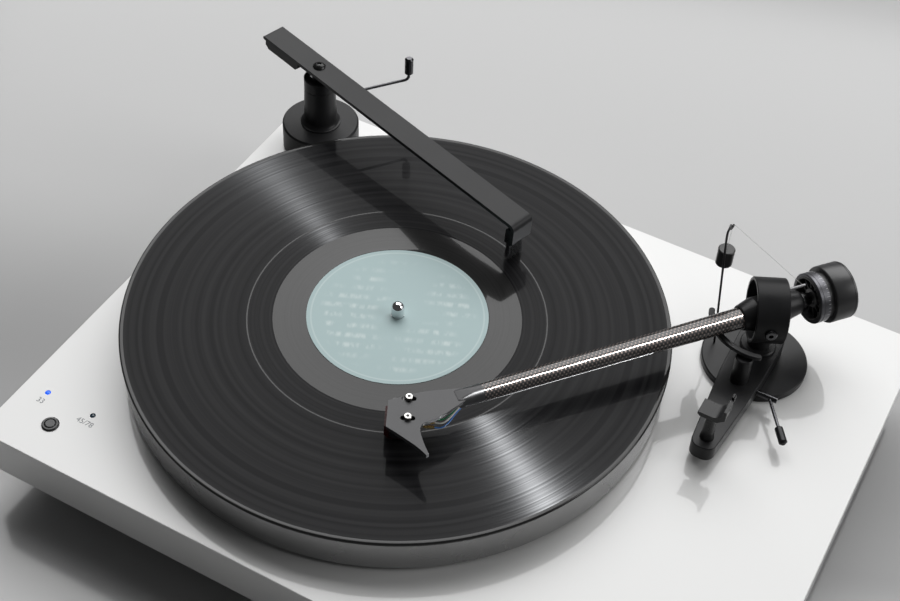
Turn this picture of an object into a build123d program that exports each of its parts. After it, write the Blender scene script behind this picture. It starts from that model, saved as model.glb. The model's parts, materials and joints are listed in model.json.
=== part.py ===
"""Belt-drive record player with a gimbal tonearm and a swinging record brush.

Every place is given from the middle of the plinth's top face, in millimetres, +X to the right,
+Y to the back and +Z up. level() moves it to the model's own frame, whose origin is the middle
of the overall outline, on the surface that the feet stand on.
"""
from build123d import *
from math import atan2, cos, degrees, hypot, pi, radians, sin
import os

os.makedirs("parts", exist_ok=True)

# ---------------------------------------------------------------- driving dimensions
PLINTH_W, PLINTH_D, PLINTH_T = 415.0, 320.0, 28.6
COVER_T = 2.4
FOOT_H, PAD_H = 20.3, 3.0
TOP_Z = PAD_H + FOOT_H + COVER_T + PLINTH_T

SPINDLE_XY = (-49.0, 5.3)
PLATTER_R, PLATTER_LOW, PLATTER_TOP = 150.0, 2.0, 22.0
RECORD_R, RECORD_T = 150.8, 2.0
GROOVE_R, LABEL_R = 147.3, 50.0
PIN_R, PIN_SEAT_R = 3.6, 3.7

PIVOT_TO_SPINDLE = 200.0
PIVOT_BEARING = 27.1
ARM_Z = 42.0
ARM_YAW = -129.4
OFFSET_ANGLE = 23.9
MOUNT_REACH = 207.5
RING_R, RING_WALL, RING_LENGTH = 18.0, 2.0, 17.5

BROOM_XY = (-175.9, 128.3)
BAR_YAW, BAR_DROP = -17.0, 2.3
BAR_W, BAR_T, BAR_REAR, BAR_FRONT = 15.0, 2.4, 44.0, 173.0
BAR_TOP = 60.6

RUNNING = 0.05          # radial clearance of a shaft that turns or slides in its bore
GAP = 0.3               # gap between curved faces on pieces that move past each other

PIVOT_XY = (
    SPINDLE_XY[0] + PIVOT_TO_SPINDLE * cos(radians(PIVOT_BEARING)),
    SPINDLE_XY[1] + PIVOT_TO_SPINDLE * sin(radians(PIVOT_BEARING)),
)

# the brush bar reaches out past the plinth's left edge, so the plinth stands right of the origin
REAR_CORNER = BAR_REAR * cos(radians(BAR_DROP)) + BAR_T * sin(radians(BAR_DROP))
LEFT_REACH = (
    -BROOM_XY[0]
    + REAR_CORNER * cos(radians(BAR_YAW))
    + BAR_W / 2 * abs(sin(radians(BAR_YAW)))
)
PLINTH_X = (LEFT_REACH - PLINTH_W / 2) / 2


# ---------------------------------------------------------------- helpers
def level(x=0.0, y=0.0, z=0.0):
    """Horizontal plane at a place given from the middle of the plinth's top face."""
    return Plane((PLINTH_X + x, y, TOP_Z + z))


def heading(angle, tilt=0.0):
    """Unit vector at an angle about +Z from +X, tipped up by tilt."""
    flat = cos(radians(tilt))
    return Vector(flat * cos(radians(angle)), flat * sin(radians(angle)), sin(radians(tilt)))


def upright(origin, forward):
    """Vertical plane through origin: its x runs along forward, its y runs up."""
    return Plane(origin=origin, x_dir=forward, z_dir=forward.cross(Vector(0, 0, 1)))


def across(origin, forward):
    """Plane that faces along forward, with its y up."""
    return Plane(origin=origin, x_dir=Vector(0, 0, 1).cross(forward), z_dir=forward)


def outline(plane, points):
    """Face bounded by straight lines through the points."""
    with BuildSketch(plane) as face:
        with BuildLine():
            Polyline(*points, close=True)
        make_face()
    return face.sketch


def dome(radius, low, high):
    """Round cap over a rod: the arc from its shoulder to its top, centred on the rod's axis."""
    rise = high - low
    ball = (radius**2 + rise**2) / (2 * rise)
    middle = high - ball + (ball**2 - radius**2 / 4) ** 0.5
    return ThreePointArc((radius, low), (radius / 2, middle), (0, high))


def keep(part, name):
    """Label a finished piece and write it out."""
    part.label = name
    export_step(part, f"parts/{name}.step")


def path_length(line):
    """Length of the path drawn in a BuildLine, to 0.1 mm."""
    return round(sum(edge.length for edge in line.edges()), 1)


SPINDLE = level(*SPINDLE_XY).origin
SPINDLE_AXIS = Axis(SPINDLE, (0, 0, 1))
UP = Vector(0, 0, 1)


def about_spindle(points):
    """Half section given as (radius, height), in the upright plane through the spindle."""
    return outline(upright(SPINDLE, Vector(1, 0, 0)), points)


# ---------------------------------------------------------------- plinth and feet
MOTOR_REACH, MOTOR_BEARING = 88.0, 140.0
MOTOR_XY = (
    SPINDLE_XY[0] + MOTOR_REACH * cos(radians(MOTOR_BEARING)),
    SPINDLE_XY[1] + MOTOR_REACH * sin(radians(MOTOR_BEARING)),
)
MOTOR_R, MOTOR_TOP, MOTOR_T = 25.0, -7.0, 20.0
BAY_R, SKIN_T = 31.0, 6.0
BUTTON_XY = (-177.2, -137.9)
LED_33_XY, LED_45_XY = (-192.2, -121.3), (-161.9, -121.8)
LED_R, BEZEL_R, BEZEL_BORE = 1.5, 4.3, 3.3
BOARD_XY, BOARD_W, BOARD_D = (-176.5, -131.0), 38.0, 34.0
HOUSING_R, JOURNAL_R = 13.0, 5.0
SOCKETS_X, NOTCH_W, NOTCH_H, NOTCH_D = 60.0, 84.0, 20.0, 34.0
ARM_HOLE_R = 8.0
COVER_INSET = 8.0
FOOT_X, FOOT_Y, FOOT_R = 165.0, 118.0, 22.0
FEET = [(x, y) for x in (-FOOT_X, FOOT_X) for y in (-FOOT_Y, FOOT_Y)]
COVER_SCREWS = [(x, y) for x in (-182.0, 0.0, 182.0) for y in (-60.0, 60.0)]

with BuildPart() as plinth_board:
    with BuildSketch(level(0, 0, -PLINTH_T)):
        Rectangle(PLINTH_W, PLINTH_D)
    extrude(amount=PLINTH_T)
    chamfer(plinth_board.edges(), length=0.4)
    # bays in the underside: motor, speed control, sockets, and the wire channels between them
    with BuildSketch(level(0, 0, -PLINTH_T)):
        with Locations(MOTOR_XY):
            Circle(BAY_R)
        with Locations(BOARD_XY):
            Rectangle(BOARD_W + 4, BOARD_D + 4)
        with Locations(((MOTOR_XY[0] + BOARD_XY[0]) / 2, (MOTOR_XY[1] + BOARD_XY[1]) / 2)):
            Rectangle(12, hypot(MOTOR_XY[0] - BOARD_XY[0], MOTOR_XY[1] - BOARD_XY[1]),
                      rotation=degrees(atan2(MOTOR_XY[1] - BOARD_XY[1],
                                             MOTOR_XY[0] - BOARD_XY[0])) - 90)
        with Locations(((MOTOR_XY[0] + SOCKETS_X) / 2, PLINTH_D / 2 - NOTCH_D)):
            Rectangle(SOCKETS_X - MOTOR_XY[0], 12)
        with Locations((MOTOR_XY[0], (MOTOR_XY[1] + PLINTH_D / 2 - NOTCH_D) / 2 + 3)):
            Rectangle(12, PLINTH_D / 2 - NOTCH_D - MOTOR_XY[1] + 6)
        with Locations((PIVOT_XY[0], (PIVOT_XY[1] + PLINTH_D / 2 - NOTCH_D) / 2)):
            Rectangle(12, PLINTH_D / 2 - NOTCH_D - PIVOT_XY[1] + 12)
        with Locations(((PIVOT_XY[0] + SOCKETS_X) / 2, PLINTH_D / 2 - NOTCH_D)):
            Rectangle(PIVOT_XY[0] - SOCKETS_X + 12, 12)
    extrude(amount=PLINTH_T - SKIN_T - 1.0, mode=Mode.SUBTRACT)
    with BuildSketch(level(SOCKETS_X, (PLINTH_D - NOTCH_D) / 2, -PLINTH_T)):
        Rectangle(NOTCH_W, NOTCH_D + 0.01)
    extrude(amount=NOTCH_H, mode=Mode.SUBTRACT)
    # holes in the top
    with BuildSketch(level()):
        with Locations(SPINDLE_XY):
            Circle(HOUSING_R)
        with Locations(MOTOR_XY):
            Circle(7.0)
        with Locations(PIVOT_XY):
            Circle(ARM_HOLE_R)
        with Locations(LED_33_XY, LED_45_XY):
            Circle(LED_R + 0.1)
        with Locations(BUTTON_XY):
            Circle(BEZEL_R)
    extrude(amount=-PLINTH_T, mode=Mode.SUBTRACT)
keep(plinth_board.part, "plinth_board")

with BuildPart() as base_cover:
    with BuildSketch(level(0, 0, -PLINTH_T - COVER_T)):
        Rectangle(PLINTH_W - 2 * COVER_INSET, PLINTH_D - 2 * COVER_INSET)
        with Locations(*COVER_SCREWS):
            Circle(1.8, mode=Mode.SUBTRACT)
    extrude(amount=COVER_T)
    fillet(base_cover.edges().filter_by(Axis.Z).group_by(SortBy.LENGTH)[-1].filter_by(
        lambda edge: edge.geom_type == GeomType.LINE), radius=4)
keep(base_cover.part, "base_cover")

with BuildPart() as cover_screws:
    with BuildSketch(level(0, 0, -PLINTH_T - COVER_T)):
        with Locations(*COVER_SCREWS):
            Circle(3.4)
    extrude(amount=-1.8)
    with BuildSketch(level(0, 0, -PLINTH_T - COVER_T - 1.8)):
        with Locations(*COVER_SCREWS):
            Rectangle(4.2, 0.8)
            Rectangle(0.8, 4.2)
    extrude(amount=0.9, mode=Mode.SUBTRACT)
    with BuildSketch(level(0, 0, -PLINTH_T - COVER_T)):
        with Locations(*COVER_SCREWS):
            Circle(1.7)
    extrude(amount=COVER_T)
keep(cover_screws.part, "cover_screws")

FOOT_PLACES = [(PLINTH_X + x, y) for x, y in FEET]
with BuildPart() as foot_bodies:
    for place in FOOT_PLACES:
        base = Vector(place[0], place[1], 0)
        section = outline(upright(base, Vector(1, 0, 0)), [
            (0, PAD_H), (FOOT_R - 3, PAD_H), (FOOT_R - 1.5, PAD_H + 1.5), (FOOT_R - 1.5, 12),
            (FOOT_R, 13.5), (FOOT_R, PAD_H + FOOT_H - 1), (FOOT_R - 1, PAD_H + FOOT_H),
            (0, PAD_H + FOOT_H)])
        revolve(section, axis=Axis(base, UP))
keep(foot_bodies.part, "foot_bodies")

with BuildPart() as foot_pads:
    with BuildSketch(Plane.XY):
        with Locations(*FOOT_PLACES):
            Circle(FOOT_R - 5)
    extrude(amount=PAD_H)
    chamfer(foot_pads.edges().group_by(Axis.Z)[0], length=0.8)
keep(foot_pads.part, "foot_pads")

# ---------------------------------------------------------------- speed control
with BuildPart() as circuit_board:
    with BuildSketch(level(*BOARD_XY, -14.6)):
        Rectangle(BOARD_W, BOARD_D)
    extrude(amount=1.6)
    with BuildSketch(level(*BUTTON_XY, -13.0)):
        Rectangle(6, 6)
    extrude(amount=3.4)
    with BuildSketch(level(BOARD_XY[0] + 12, BOARD_XY[1] + 3, -13.0)):
        Rectangle(9, 9)
    extrude(amount=1.6)
    with BuildSketch(level(BOARD_XY[0] - 2, BOARD_XY[1] + 9, -13.0)):
        Rectangle(12, 5)
    extrude(amount=4)
keep(circuit_board.part, "circuit_board")


def led(xy):
    """Round light with a domed top just above the plinth, standing on the circuit board."""
    foot = level(*xy).origin
    with BuildPart() as light:
        with BuildSketch(upright(foot, Vector(1, 0, 0))):
            with BuildLine():
                Polyline((0, 0.35), (0, -13.0), (LED_R, -13.0), (LED_R, -0.3))
                dome(LED_R, -0.3, 0.35)
            make_face()
        revolve(axis=Axis(foot, UP))
    return light.part


keep(led(LED_33_XY), "speed_light_33")
keep(led(LED_45_XY), "speed_light_45")

with BuildPart() as button_bezel:
    foot = level(*BUTTON_XY).origin
    revolve(outline(upright(foot, Vector(1, 0, 0)), [
        (BEZEL_BORE, -5.0), (BEZEL_R, -5.0), (BEZEL_R, 0), (BEZEL_R + 0.4, 0),
        (BEZEL_R + 0.4, 0.5), (BEZEL_R - 0.2, 1.0), (BEZEL_BORE, 1.0)]), axis=Axis(foot, UP))
keep(button_bezel.part, "button_bezel")

with BuildPart() as speed_button:
    foot = level(*BUTTON_XY).origin
    revolve(outline(upright(foot, Vector(1, 0, 0)), [
        (0, -8.4), (1.5, -8.4), (1.5, -3.5), (BEZEL_BORE - 0.25, -3.5),
        (BEZEL_BORE - 0.25, 0.7), (BEZEL_BORE - 0.85, 1.2), (0, 1.2)]), axis=Axis(foot, UP))
keep(speed_button.part, "speed_button")

# ---------------------------------------------------------------- main bearing and drive
SUB_R, SUB_LOW, SUB_TOP = 58.0, 6.5, 13.0
RECORD_TOP = PLATTER_TOP + RECORD_T
GROOVE_TOP = RECORD_TOP - 0.2
NECK_H = 0.8            # undercut of the spindle, where its seat in the record ends
with BuildPart() as bearing_housing:
    revolve(about_spindle([
        (0, -28.0), (HOUSING_R - 0.1, -28.0), (HOUSING_R - 0.1, 0), (18.0, 0), (18.0, 2.0),
        (9.0, 2.0), (8.0, 3.2), (JOURNAL_R + RUNNING, 3.2), (JOURNAL_R + RUNNING, -25.0),
        (0, -25.0)]), axis=SPINDLE_AXIS)
keep(bearing_housing.part, "bearing_housing")

with BuildPart() as spindle:
    with BuildSketch(upright(SPINDLE, Vector(1, 0, 0))):
        with BuildLine():
            Polyline((0, 33.0), (0, -24.8), (JOURNAL_R - 1, -24.8), (JOURNAL_R, -23.8),
                     (JOURNAL_R, SUB_TOP), (PIN_SEAT_R, SUB_TOP), (PIN_SEAT_R, RECORD_TOP - NECK_H),
                     (PIN_R - 0.5, RECORD_TOP - NECK_H), (PIN_R - 0.5, RECORD_TOP),
                     (PIN_R, RECORD_TOP), (PIN_R, 30.2))
            dome(PIN_R, 30.2, 33.0)
        make_face()
    revolve(axis=SPINDLE_AXIS)
keep(spindle.part, "spindle")

with BuildPart() as sub_platter:
    revolve(about_spindle([
        (JOURNAL_R, 4.0), (14.0, 4.0), (14.0, SUB_LOW + 2.5), (SUB_R - 6, SUB_LOW + 2.5),
        (SUB_R - 6, SUB_LOW), (SUB_R, SUB_LOW), (SUB_R, SUB_TOP), (JOURNAL_R, SUB_TOP)]),
        axis=SPINDLE_AXIS)
keep(sub_platter.part, "sub_platter")

with BuildPart() as platter:
    revolve(about_spindle([
        (PIN_SEAT_R, SUB_TOP), (PLATTER_R - 14, SUB_TOP), (PLATTER_R - 12, SUB_TOP - 2),
        (PLATTER_R - 12, PLATTER_LOW), (PLATTER_R - 0.8, PLATTER_LOW),
        (PLATTER_R, PLATTER_LOW + 0.8), (PLATTER_R, PLATTER_TOP - 0.8),
        (PLATTER_R - 0.8, PLATTER_TOP), (PIN_SEAT_R, PLATTER_TOP)]), axis=SPINDLE_AXIS)
keep(platter.part, "platter")

LABEL_T = 0.15
with BuildPart() as record:
    revolve(about_spindle([
        (PIN_SEAT_R, PLATTER_TOP), (RECORD_R - 0.9, PLATTER_TOP), (RECORD_R, PLATTER_TOP + 0.8),
        (RECORD_R, RECORD_TOP - 0.8), (RECORD_R - 0.9, RECORD_TOP), (GROOVE_R + 0.8, RECORD_TOP),
        (GROOVE_R, GROOVE_TOP), (LABEL_R + 2.5, GROOVE_TOP), (LABEL_R + 0.5, RECORD_TOP),
        (LABEL_R, RECORD_TOP), (LABEL_R, RECORD_TOP - LABEL_T), (PIN_SEAT_R, RECORD_TOP - LABEL_T)]),
        axis=SPINDLE_AXIS)
keep(record.part, "record")

with BuildPart() as record_label:
    revolve(about_spindle([
        (PIN_SEAT_R, RECORD_TOP - LABEL_T), (LABEL_R, RECORD_TOP - LABEL_T), (LABEL_R, RECORD_TOP),
        (PIN_SEAT_R, RECORD_TOP)]), axis=SPINDLE_AXIS)
keep(record_label.part, "record_label")

BELT_RATIO = 12.0
PULLEY_R = SUB_R / BELT_RATIO
BELT_LOW, BELT_W, BELT_T = 7.8, 4.0, 0.6
MOTOR = level(*MOTOR_XY).origin
with BuildPart() as motor_body:
    with BuildSketch(level(*MOTOR_XY, MOTOR_TOP - MOTOR_T)):
        Circle(MOTOR_R)
    extrude(amount=MOTOR_T)
    chamfer(motor_body.edges().group_by(Axis.Z)[0], length=1.5)
    with BuildSketch(level(*MOTOR_XY, MOTOR_TOP - 1.2)):
        SlotCenterToCenter(2 * MOTOR_R + 3, 6.5, rotation=30)
    extrude(amount=1.2)
    with BuildSketch(level(*MOTOR_XY, MOTOR_TOP)):
        Circle(4.5)
        Circle(1.0 + RUNNING, mode=Mode.SUBTRACT)
    extrude(amount=3.0)
    with BuildSketch(level(*MOTOR_XY, MOTOR_TOP)):
        Circle(1.0 + RUNNING)
    extrude(amount=-4.0, mode=Mode.SUBTRACT)
keep(motor_body.part, "motor_body")

with BuildPart() as motor_pulley:
    revolve(outline(upright(MOTOR, Vector(1, 0, 0)), [
        (0, MOTOR_TOP - 3.5), (1.0, MOTOR_TOP - 3.5), (1.0, 3.0), (4.0, 3.0), (4.0, 6.0),
        (PULLEY_R + 1.2, 6.0), (PULLEY_R + 1.2, 6.8), (PULLEY_R, 7.4), (PULLEY_R, 12.0),
        (PULLEY_R + 0.8, 12.3), (PULLEY_R + 0.8, 12.7), (0, 12.7)]), axis=Axis(MOTOR, UP))
keep(motor_pulley.part, "motor_pulley")


def belt_face(stand_off):
    """Face inside a loop that runs round the sub-platter and the pulley, stand_off away."""
    with BuildSketch(level(0, 0, BELT_LOW)) as face:
        with Locations(SPINDLE_XY):
            Circle(SUB_R + stand_off)
        with Locations(MOTOR_XY):
            Circle(PULLEY_R + stand_off)
        make_hull()
    return face.sketch


with BuildPart() as drive_belt:
    extrude(belt_face(GAP + BELT_T), amount=BELT_W)
    extrude(belt_face(GAP), amount=BELT_W, mode=Mode.SUBTRACT)
keep(drive_belt.part, "drive_belt")

# ---------------------------------------------------------------- rear connections
PANEL_Y = PLINTH_D / 2 - 10.5
SOCKET_Z = -PLINTH_T + NOTCH_H / 2
with BuildPart() as connector_box:
    with BuildSketch(level(SOCKETS_X, PANEL_Y - 11, -PLINTH_T)):
        Rectangle(NOTCH_W - 1, 22)
    extrude(amount=NOTCH_H - 1)
    with BuildSketch(level(SOCKETS_X, PANEL_Y - 12.5, -PLINTH_T)):
        Rectangle(NOTCH_W - 4, 20)
    extrude(amount=NOTCH_H - 2.5, mode=Mode.SUBTRACT)
    with BuildSketch(Plane(origin=level(SOCKETS_X, PANEL_Y, SOCKET_Z).origin,
                           x_dir=(-1, 0, 0), z_dir=(0, 1, 0))):
        with Locations((30, 0), (12, 0)):
            Circle(3.0)
        with Locations((-8, 0)):
            Circle(2.0)
        with Locations((-28, 0)):
            Rectangle(9.2, 9.2)
    extrude(amount=-3, mode=Mode.SUBTRACT)
keep(connector_box.part, "connector_box")


def rearward(x, y):
    """Plane on the socket line that faces the back."""
    return Plane(origin=level(x, y, SOCKET_Z).origin, x_dir=(-1, 0, 0), z_dir=(0, 1, 0))


PHONO_X = (SOCKETS_X - 30, SOCKETS_X - 12)
PHONO_R = 4.15
with BuildPart() as phono_sockets:
    for x in PHONO_X:
        with BuildSketch(rearward(x, PANEL_Y)):
            RegularPolygon(6.2, 6)
        extrude(amount=1.6)
        with BuildSketch(rearward(x, PANEL_Y)):
            Circle(PHONO_R)
        extrude(amount=9.0)
        with BuildSketch(rearward(x, PANEL_Y)):
            Circle(2.9)
        extrude(amount=-8.0)
        with BuildSketch(rearward(x, PANEL_Y + 9.0)):
            Circle(1.65)
        extrude(amount=-8.5, mode=Mode.SUBTRACT)
keep(phono_sockets.part, "phono_sockets")

with BuildPart() as ground_terminal:
    with BuildSketch(rearward(SOCKETS_X + 8, PANEL_Y)):
        Circle(2.4)
    extrude(amount=2.5)
    with BuildSketch(rearward(SOCKETS_X + 8, PANEL_Y + 2.5)):
        Circle(4.4)
        with PolarLocations(4.4, 20):
            Circle(0.3, mode=Mode.SUBTRACT)
    extrude(amount=6.0)
    with BuildSketch(rearward(SOCKETS_X + 8, PANEL_Y)):
        Circle(1.9)
    extrude(amount=-6.0)
keep(ground_terminal.part, "ground_terminal")

JACK_R = 2.9
with BuildPart() as power_socket:
    with BuildSketch(rearward(SOCKETS_X + 28, PANEL_Y)):
        Rectangle(9, 9)
    extrude(amount=-13.0)
    with BuildSketch(rearward(SOCKETS_X + 28, PANEL_Y)):
        Rectangle(11, 11)
        Rectangle(9, 9, mode=Mode.SUBTRACT)
    extrude(amount=0.8)
    with BuildSketch(rearward(SOCKETS_X + 28, PANEL_Y)):
        Rectangle(9, 9)
    extrude(amount=0.8)
    with BuildSketch(rearward(SOCKETS_X + 28, PANEL_Y + 0.8)):
        Circle(JACK_R)
        Circle(1.0, mode=Mode.SUBTRACT)
    extrude(amount=-10.0, mode=Mode.SUBTRACT)
keep(power_socket.part, "power_socket")

# ---------------------------------------------------------------- tonearm base, lift and rest
PX, PY = PIVOT_XY
BASE_R, BASE_T = 29.6, 4.0
BAR_LOW, BAR_HIGH = 5.0, 14.0
LIFT_Y = PY - 28.9
LIFT_R, LIFT_TOP, PISTON_R = 4.9, 32.0, 1.5
LEVER_Z, LEVER_R = 9.5, 1.7
REST_Y = 21.5
SHAFT_R = 3.0
PIVOT = level(PX, PY).origin
RING_CENTRE = level(PX, PY, ARM_Z).origin

RING_LOW = ARM_Z - RING_R
COLUMN_R = 6.2

with BuildPart() as arm_base:
    revolve(outline(upright(PIVOT, Vector(1, 0, 0)), [
        (SHAFT_R + RUNNING, -12.0), (ARM_HOLE_R - 0.2, -12.0), (ARM_HOLE_R - 0.2, 0), (BASE_R, 0),
        (BASE_R, BASE_T - 0.6), (BASE_R - 0.6, BASE_T), (11.0, BASE_T), (11.0, BAR_LOW),
        (COLUMN_R, BAR_LOW), (COLUMN_R, RING_LOW - 0.9), (COLUMN_R - 0.5, RING_LOW - 0.4),
        (SHAFT_R + RUNNING, RING_LOW - 0.4)]), axis=Axis(PIVOT, UP))
keep(arm_base.part, "arm_base")

BAR_OUTLINE = [(-6.4, REST_Y - 8.6), (6.4, REST_Y - 8.6), (11.6, 70.0), (12.4, 98.0),
               (12.4, 110.0), (-12.4, 110.0), (-12.4, 98.0), (-11.6, 70.0)]
with BuildPart() as armrest_bar:
    with BuildSketch(level(PX, 0, BAR_LOW)):
        with BuildLine():
            Polyline(*BAR_OUTLINE, close=True)
        make_face()
        fillet(vertices().group_by(Axis.Y)[0], radius=5.6)
        fillet(vertices().group_by(Axis.Y)[-1], radius=5.0)
    extrude(amount=BAR_HIGH - BAR_LOW)
    chamfer(armrest_bar.edges().group_by(Axis.Z)[-1], length=0.4)
    with BuildSketch(level(PX, PY, BAR_HIGH)):
        Circle(10.0)
    extrude(amount=2.0)
    chamfer(armrest_bar.edges().group_by(Axis.Z)[-1], length=0.6)
    with BuildSketch(level(PX, PY, BAR_LOW)):
        Circle(COLUMN_R + 0.02)
    extrude(amount=BAR_HIGH + 2.0 - BAR_LOW, mode=Mode.SUBTRACT)
    with BuildSketch(across(level(PX + 2, LIFT_Y, LEVER_Z).origin, Vector(1, 0, 0))):
        Circle(LEVER_R + RUNNING)
    extrude(amount=14, mode=Mode.SUBTRACT)
keep(armrest_bar.part, "armrest_bar")

LIFT = level(PX, LIFT_Y).origin
with BuildPart() as lift_cylinder:
    revolve(outline(upright(LIFT, Vector(1, 0, 0)), [
        (PISTON_R + RUNNING, BAR_HIGH), (LIFT_R, BAR_HIGH), (LIFT_R, LIFT_TOP - 0.5),
        (LIFT_R - 0.5, LIFT_TOP), (PISTON_R + RUNNING, LIFT_TOP)]), axis=Axis(LIFT, UP))
keep(lift_cylinder.part, "lift_cylinder")

TUBE_REAR_R, TUBE_FRONT_R, TUBE_FRONT = 5.9, 4.3, 182.0
PLATFORM_TOP = ARM_Z - TUBE_REAR_R - 0.25
PLATFORM_T, PLATFORM_R, PLATFORM_W = 2.0, 28.9, 3.4
PLATFORM_FROM, PLATFORM_TO = -162.0, -76.0
with BuildPart() as lift_platform:
    with BuildSketch(level(PX, PY, PLATFORM_TOP - PLATFORM_T)):
        with BuildLine():
            CenterArc((0, 0), PLATFORM_R, PLATFORM_FROM, PLATFORM_TO - PLATFORM_FROM)
            offset(amount=PLATFORM_W / 2, side=Side.BOTH)
        make_face()
    extrude(amount=PLATFORM_T)
    fillet(lift_platform.edges().group_by(Axis.Z)[-1], radius=0.6)
    with BuildSketch(level(PX, LIFT_Y, BAR_HIGH + 1)):
        Circle(PISTON_R)
    extrude(amount=PLATFORM_TOP - PLATFORM_T - BAR_HIGH - 0.5)
keep(lift_platform.part, "lift_platform")

LEVER_ROOT = level(PX + 18.5, LIFT_Y, LEVER_Z).origin
LEVER_DIR = heading(-55.8)
ROD_R, ROD_LENGTH, KNOB_R, KNOB_LENGTH = 0.9, 21.0, 2.3, 11.0
with BuildPart() as cue_lever:
    with BuildSketch(across(level(PX + 3, LIFT_Y, LEVER_Z).origin, Vector(1, 0, 0))):
        Circle(LEVER_R)
    extrude(amount=20.0)
    with BuildSketch(across(LEVER_ROOT, LEVER_DIR)):
        Circle(ROD_R)
    extrude(amount=ROD_LENGTH)
keep(cue_lever.part, "cue_lever")

with BuildPart() as cue_knob:
    start = LEVER_ROOT + LEVER_DIR * ROD_LENGTH
    revolve(outline(upright(start, LEVER_DIR), [
        (0, 0), (0, KNOB_R - 0.5), (0.6, KNOB_R), (KNOB_LENGTH - 1.2, KNOB_R),
        (KNOB_LENGTH, KNOB_R - 1.2), (KNOB_LENGTH, 0)]), axis=Axis(start, LEVER_DIR))
keep(cue_knob.part, "cue_knob")

CRADLE_R, CRADLE_L = 6.2, 10.0
REST = level(PX, REST_Y).origin
CRADLE_FLOOR = ARM_Z - CRADLE_R + 0.1
with BuildPart() as armrest_cradle:
    revolve(outline(upright(REST, Vector(1, 0, 0)), [
        (0, BAR_HIGH), (3.9, BAR_HIGH), (3.3, BAR_HIGH + 3), (2.8, 33.0), (0, 33.0)]),
        axis=Axis(REST, UP))
    with BuildSketch(Plane(origin=level(PX, REST_Y + CRADLE_L / 2).origin,
                           x_dir=(1, 0, 0), z_dir=(0, -1, 0))):
        with BuildLine():
            Polyline((-6.8, CRADLE_FLOOR), (-6.8, 34.4), (-5.4, 33.0), (4.0, 33.0),
                     (7.9, 36.6), (7.9, ARM_Z + 1.0), (CRADLE_R + 0.2, ARM_Z + 1.0),
                     (CRADLE_R + 0.2, ARM_Z))
            ThreePointArc((CRADLE_R + 0.2, ARM_Z),
                          ((CRADLE_R + 0.1) * 0.76, ARM_Z - (CRADLE_R + 0.1) * 0.76 + 0.5),
                          (0.0, CRADLE_FLOOR))
            Line((0.0, CRADLE_FLOOR), (-6.8, CRADLE_FLOOR))
        make_face()
    extrude(amount=CRADLE_L)
keep(armrest_cradle.part, "armrest_cradle")

CLIP_L, CLIP_R, CLIP_T = 3.0, 6.6, 1.4
with BuildPart() as armrest_clip:
    with BuildSketch(Plane(origin=level(PX, REST_Y + CRADLE_L / 2 + GAP + CLIP_L, ARM_Z).origin,
                           x_dir=(1, 0, 0), z_dir=(0, -1, 0))):
        with BuildLine():
            CenterArc((0, 0), CLIP_R + CLIP_T / 2, -40, 55)
            offset(amount=CLIP_T / 2, side=Side.BOTH)
        make_face()
    extrude(amount=CLIP_L)
keep(armrest_clip.part, "armrest_clip")

# ---------------------------------------------------------------- anti-skating
WIRE_R, EYE_R = 0.75, 1.9
EYE = level(98.6, 101.0, 86.0).origin
WIRE_ROUTE = [level(105.4, 95.1, BASE_T + 0.1).origin, level(97.9, 94.5, 86.0).origin,
              EYE - Vector(0.7, 1.6, 0)]
with BuildPart() as antiskate_wire:
    with BuildLine() as wire_line:
        FilletPolyline(*WIRE_ROUTE, radius=2.5)
    with BuildSketch(Plane(origin=WIRE_ROUTE[0], z_dir=WIRE_ROUTE[1] - WIRE_ROUTE[0])):
        Circle(WIRE_R)
    sweep(path=wire_line.line)
    with BuildSketch(across(EYE + Vector(EYE_R, 0, 0), Vector(0, 1, 0))):
        Circle(WIRE_R * 0.85)
    revolve(axis=Axis(EYE, UP))
keep(antiskate_wire.part, "antiskate_wire")

# ---------------------------------------------------------------- tonearm: ring and screws
ARM_DIR, REAR_DIR = heading(ARM_YAW), heading(ARM_YAW + 180)
SHELL_DIR = heading(ARM_YAW - OFFSET_ANGLE)
PITCH_DIR = heading(ARM_YAW - OFFSET_ANGLE + 90)
SCREW_R, SCREW_HEAD_R = 2.0, 3.3

with BuildPart() as bearing_ring:
    with BuildSketch(across(RING_CENTRE - SHELL_DIR * (RING_LENGTH / 2), SHELL_DIR)):
        Circle(RING_R)
        Circle(RING_R - RING_WALL, mode=Mode.SUBTRACT)
    extrude(amount=RING_LENGTH)
    chamfer(bearing_ring.edges().filter_by(GeomType.CIRCLE), length=0.35)
    with BuildSketch(across(RING_CENTRE - PITCH_DIR * (RING_R + 1), PITCH_DIR)):
        Circle(SCREW_R + RUNNING)
    extrude(amount=2 * RING_R + 2, mode=Mode.SUBTRACT)
    with BuildSketch(level(PX, PY, 16.0)):
        Circle(SHAFT_R)
    extrude(amount=RING_LOW + RING_WALL / 2 - 16.0)
keep(bearing_ring.part, "bearing_ring")

with BuildPart() as gimbal_screws:
    for side in (PITCH_DIR, -PITCH_DIR):
        revolve(outline(upright(RING_CENTRE, side), [
            (10.9, 0), (10.9, 0.3), (12.4, SCREW_R), (18.05, SCREW_R), (18.05, SCREW_HEAD_R),
            (19.0, SCREW_HEAD_R), (19.5, SCREW_HEAD_R - 0.5), (19.5, 1.25), (18.3, 1.25),
            (18.3, 0)]), axis=Axis(RING_CENTRE, side))
keep(gimbal_screws.part, "gimbal_screws")

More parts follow.
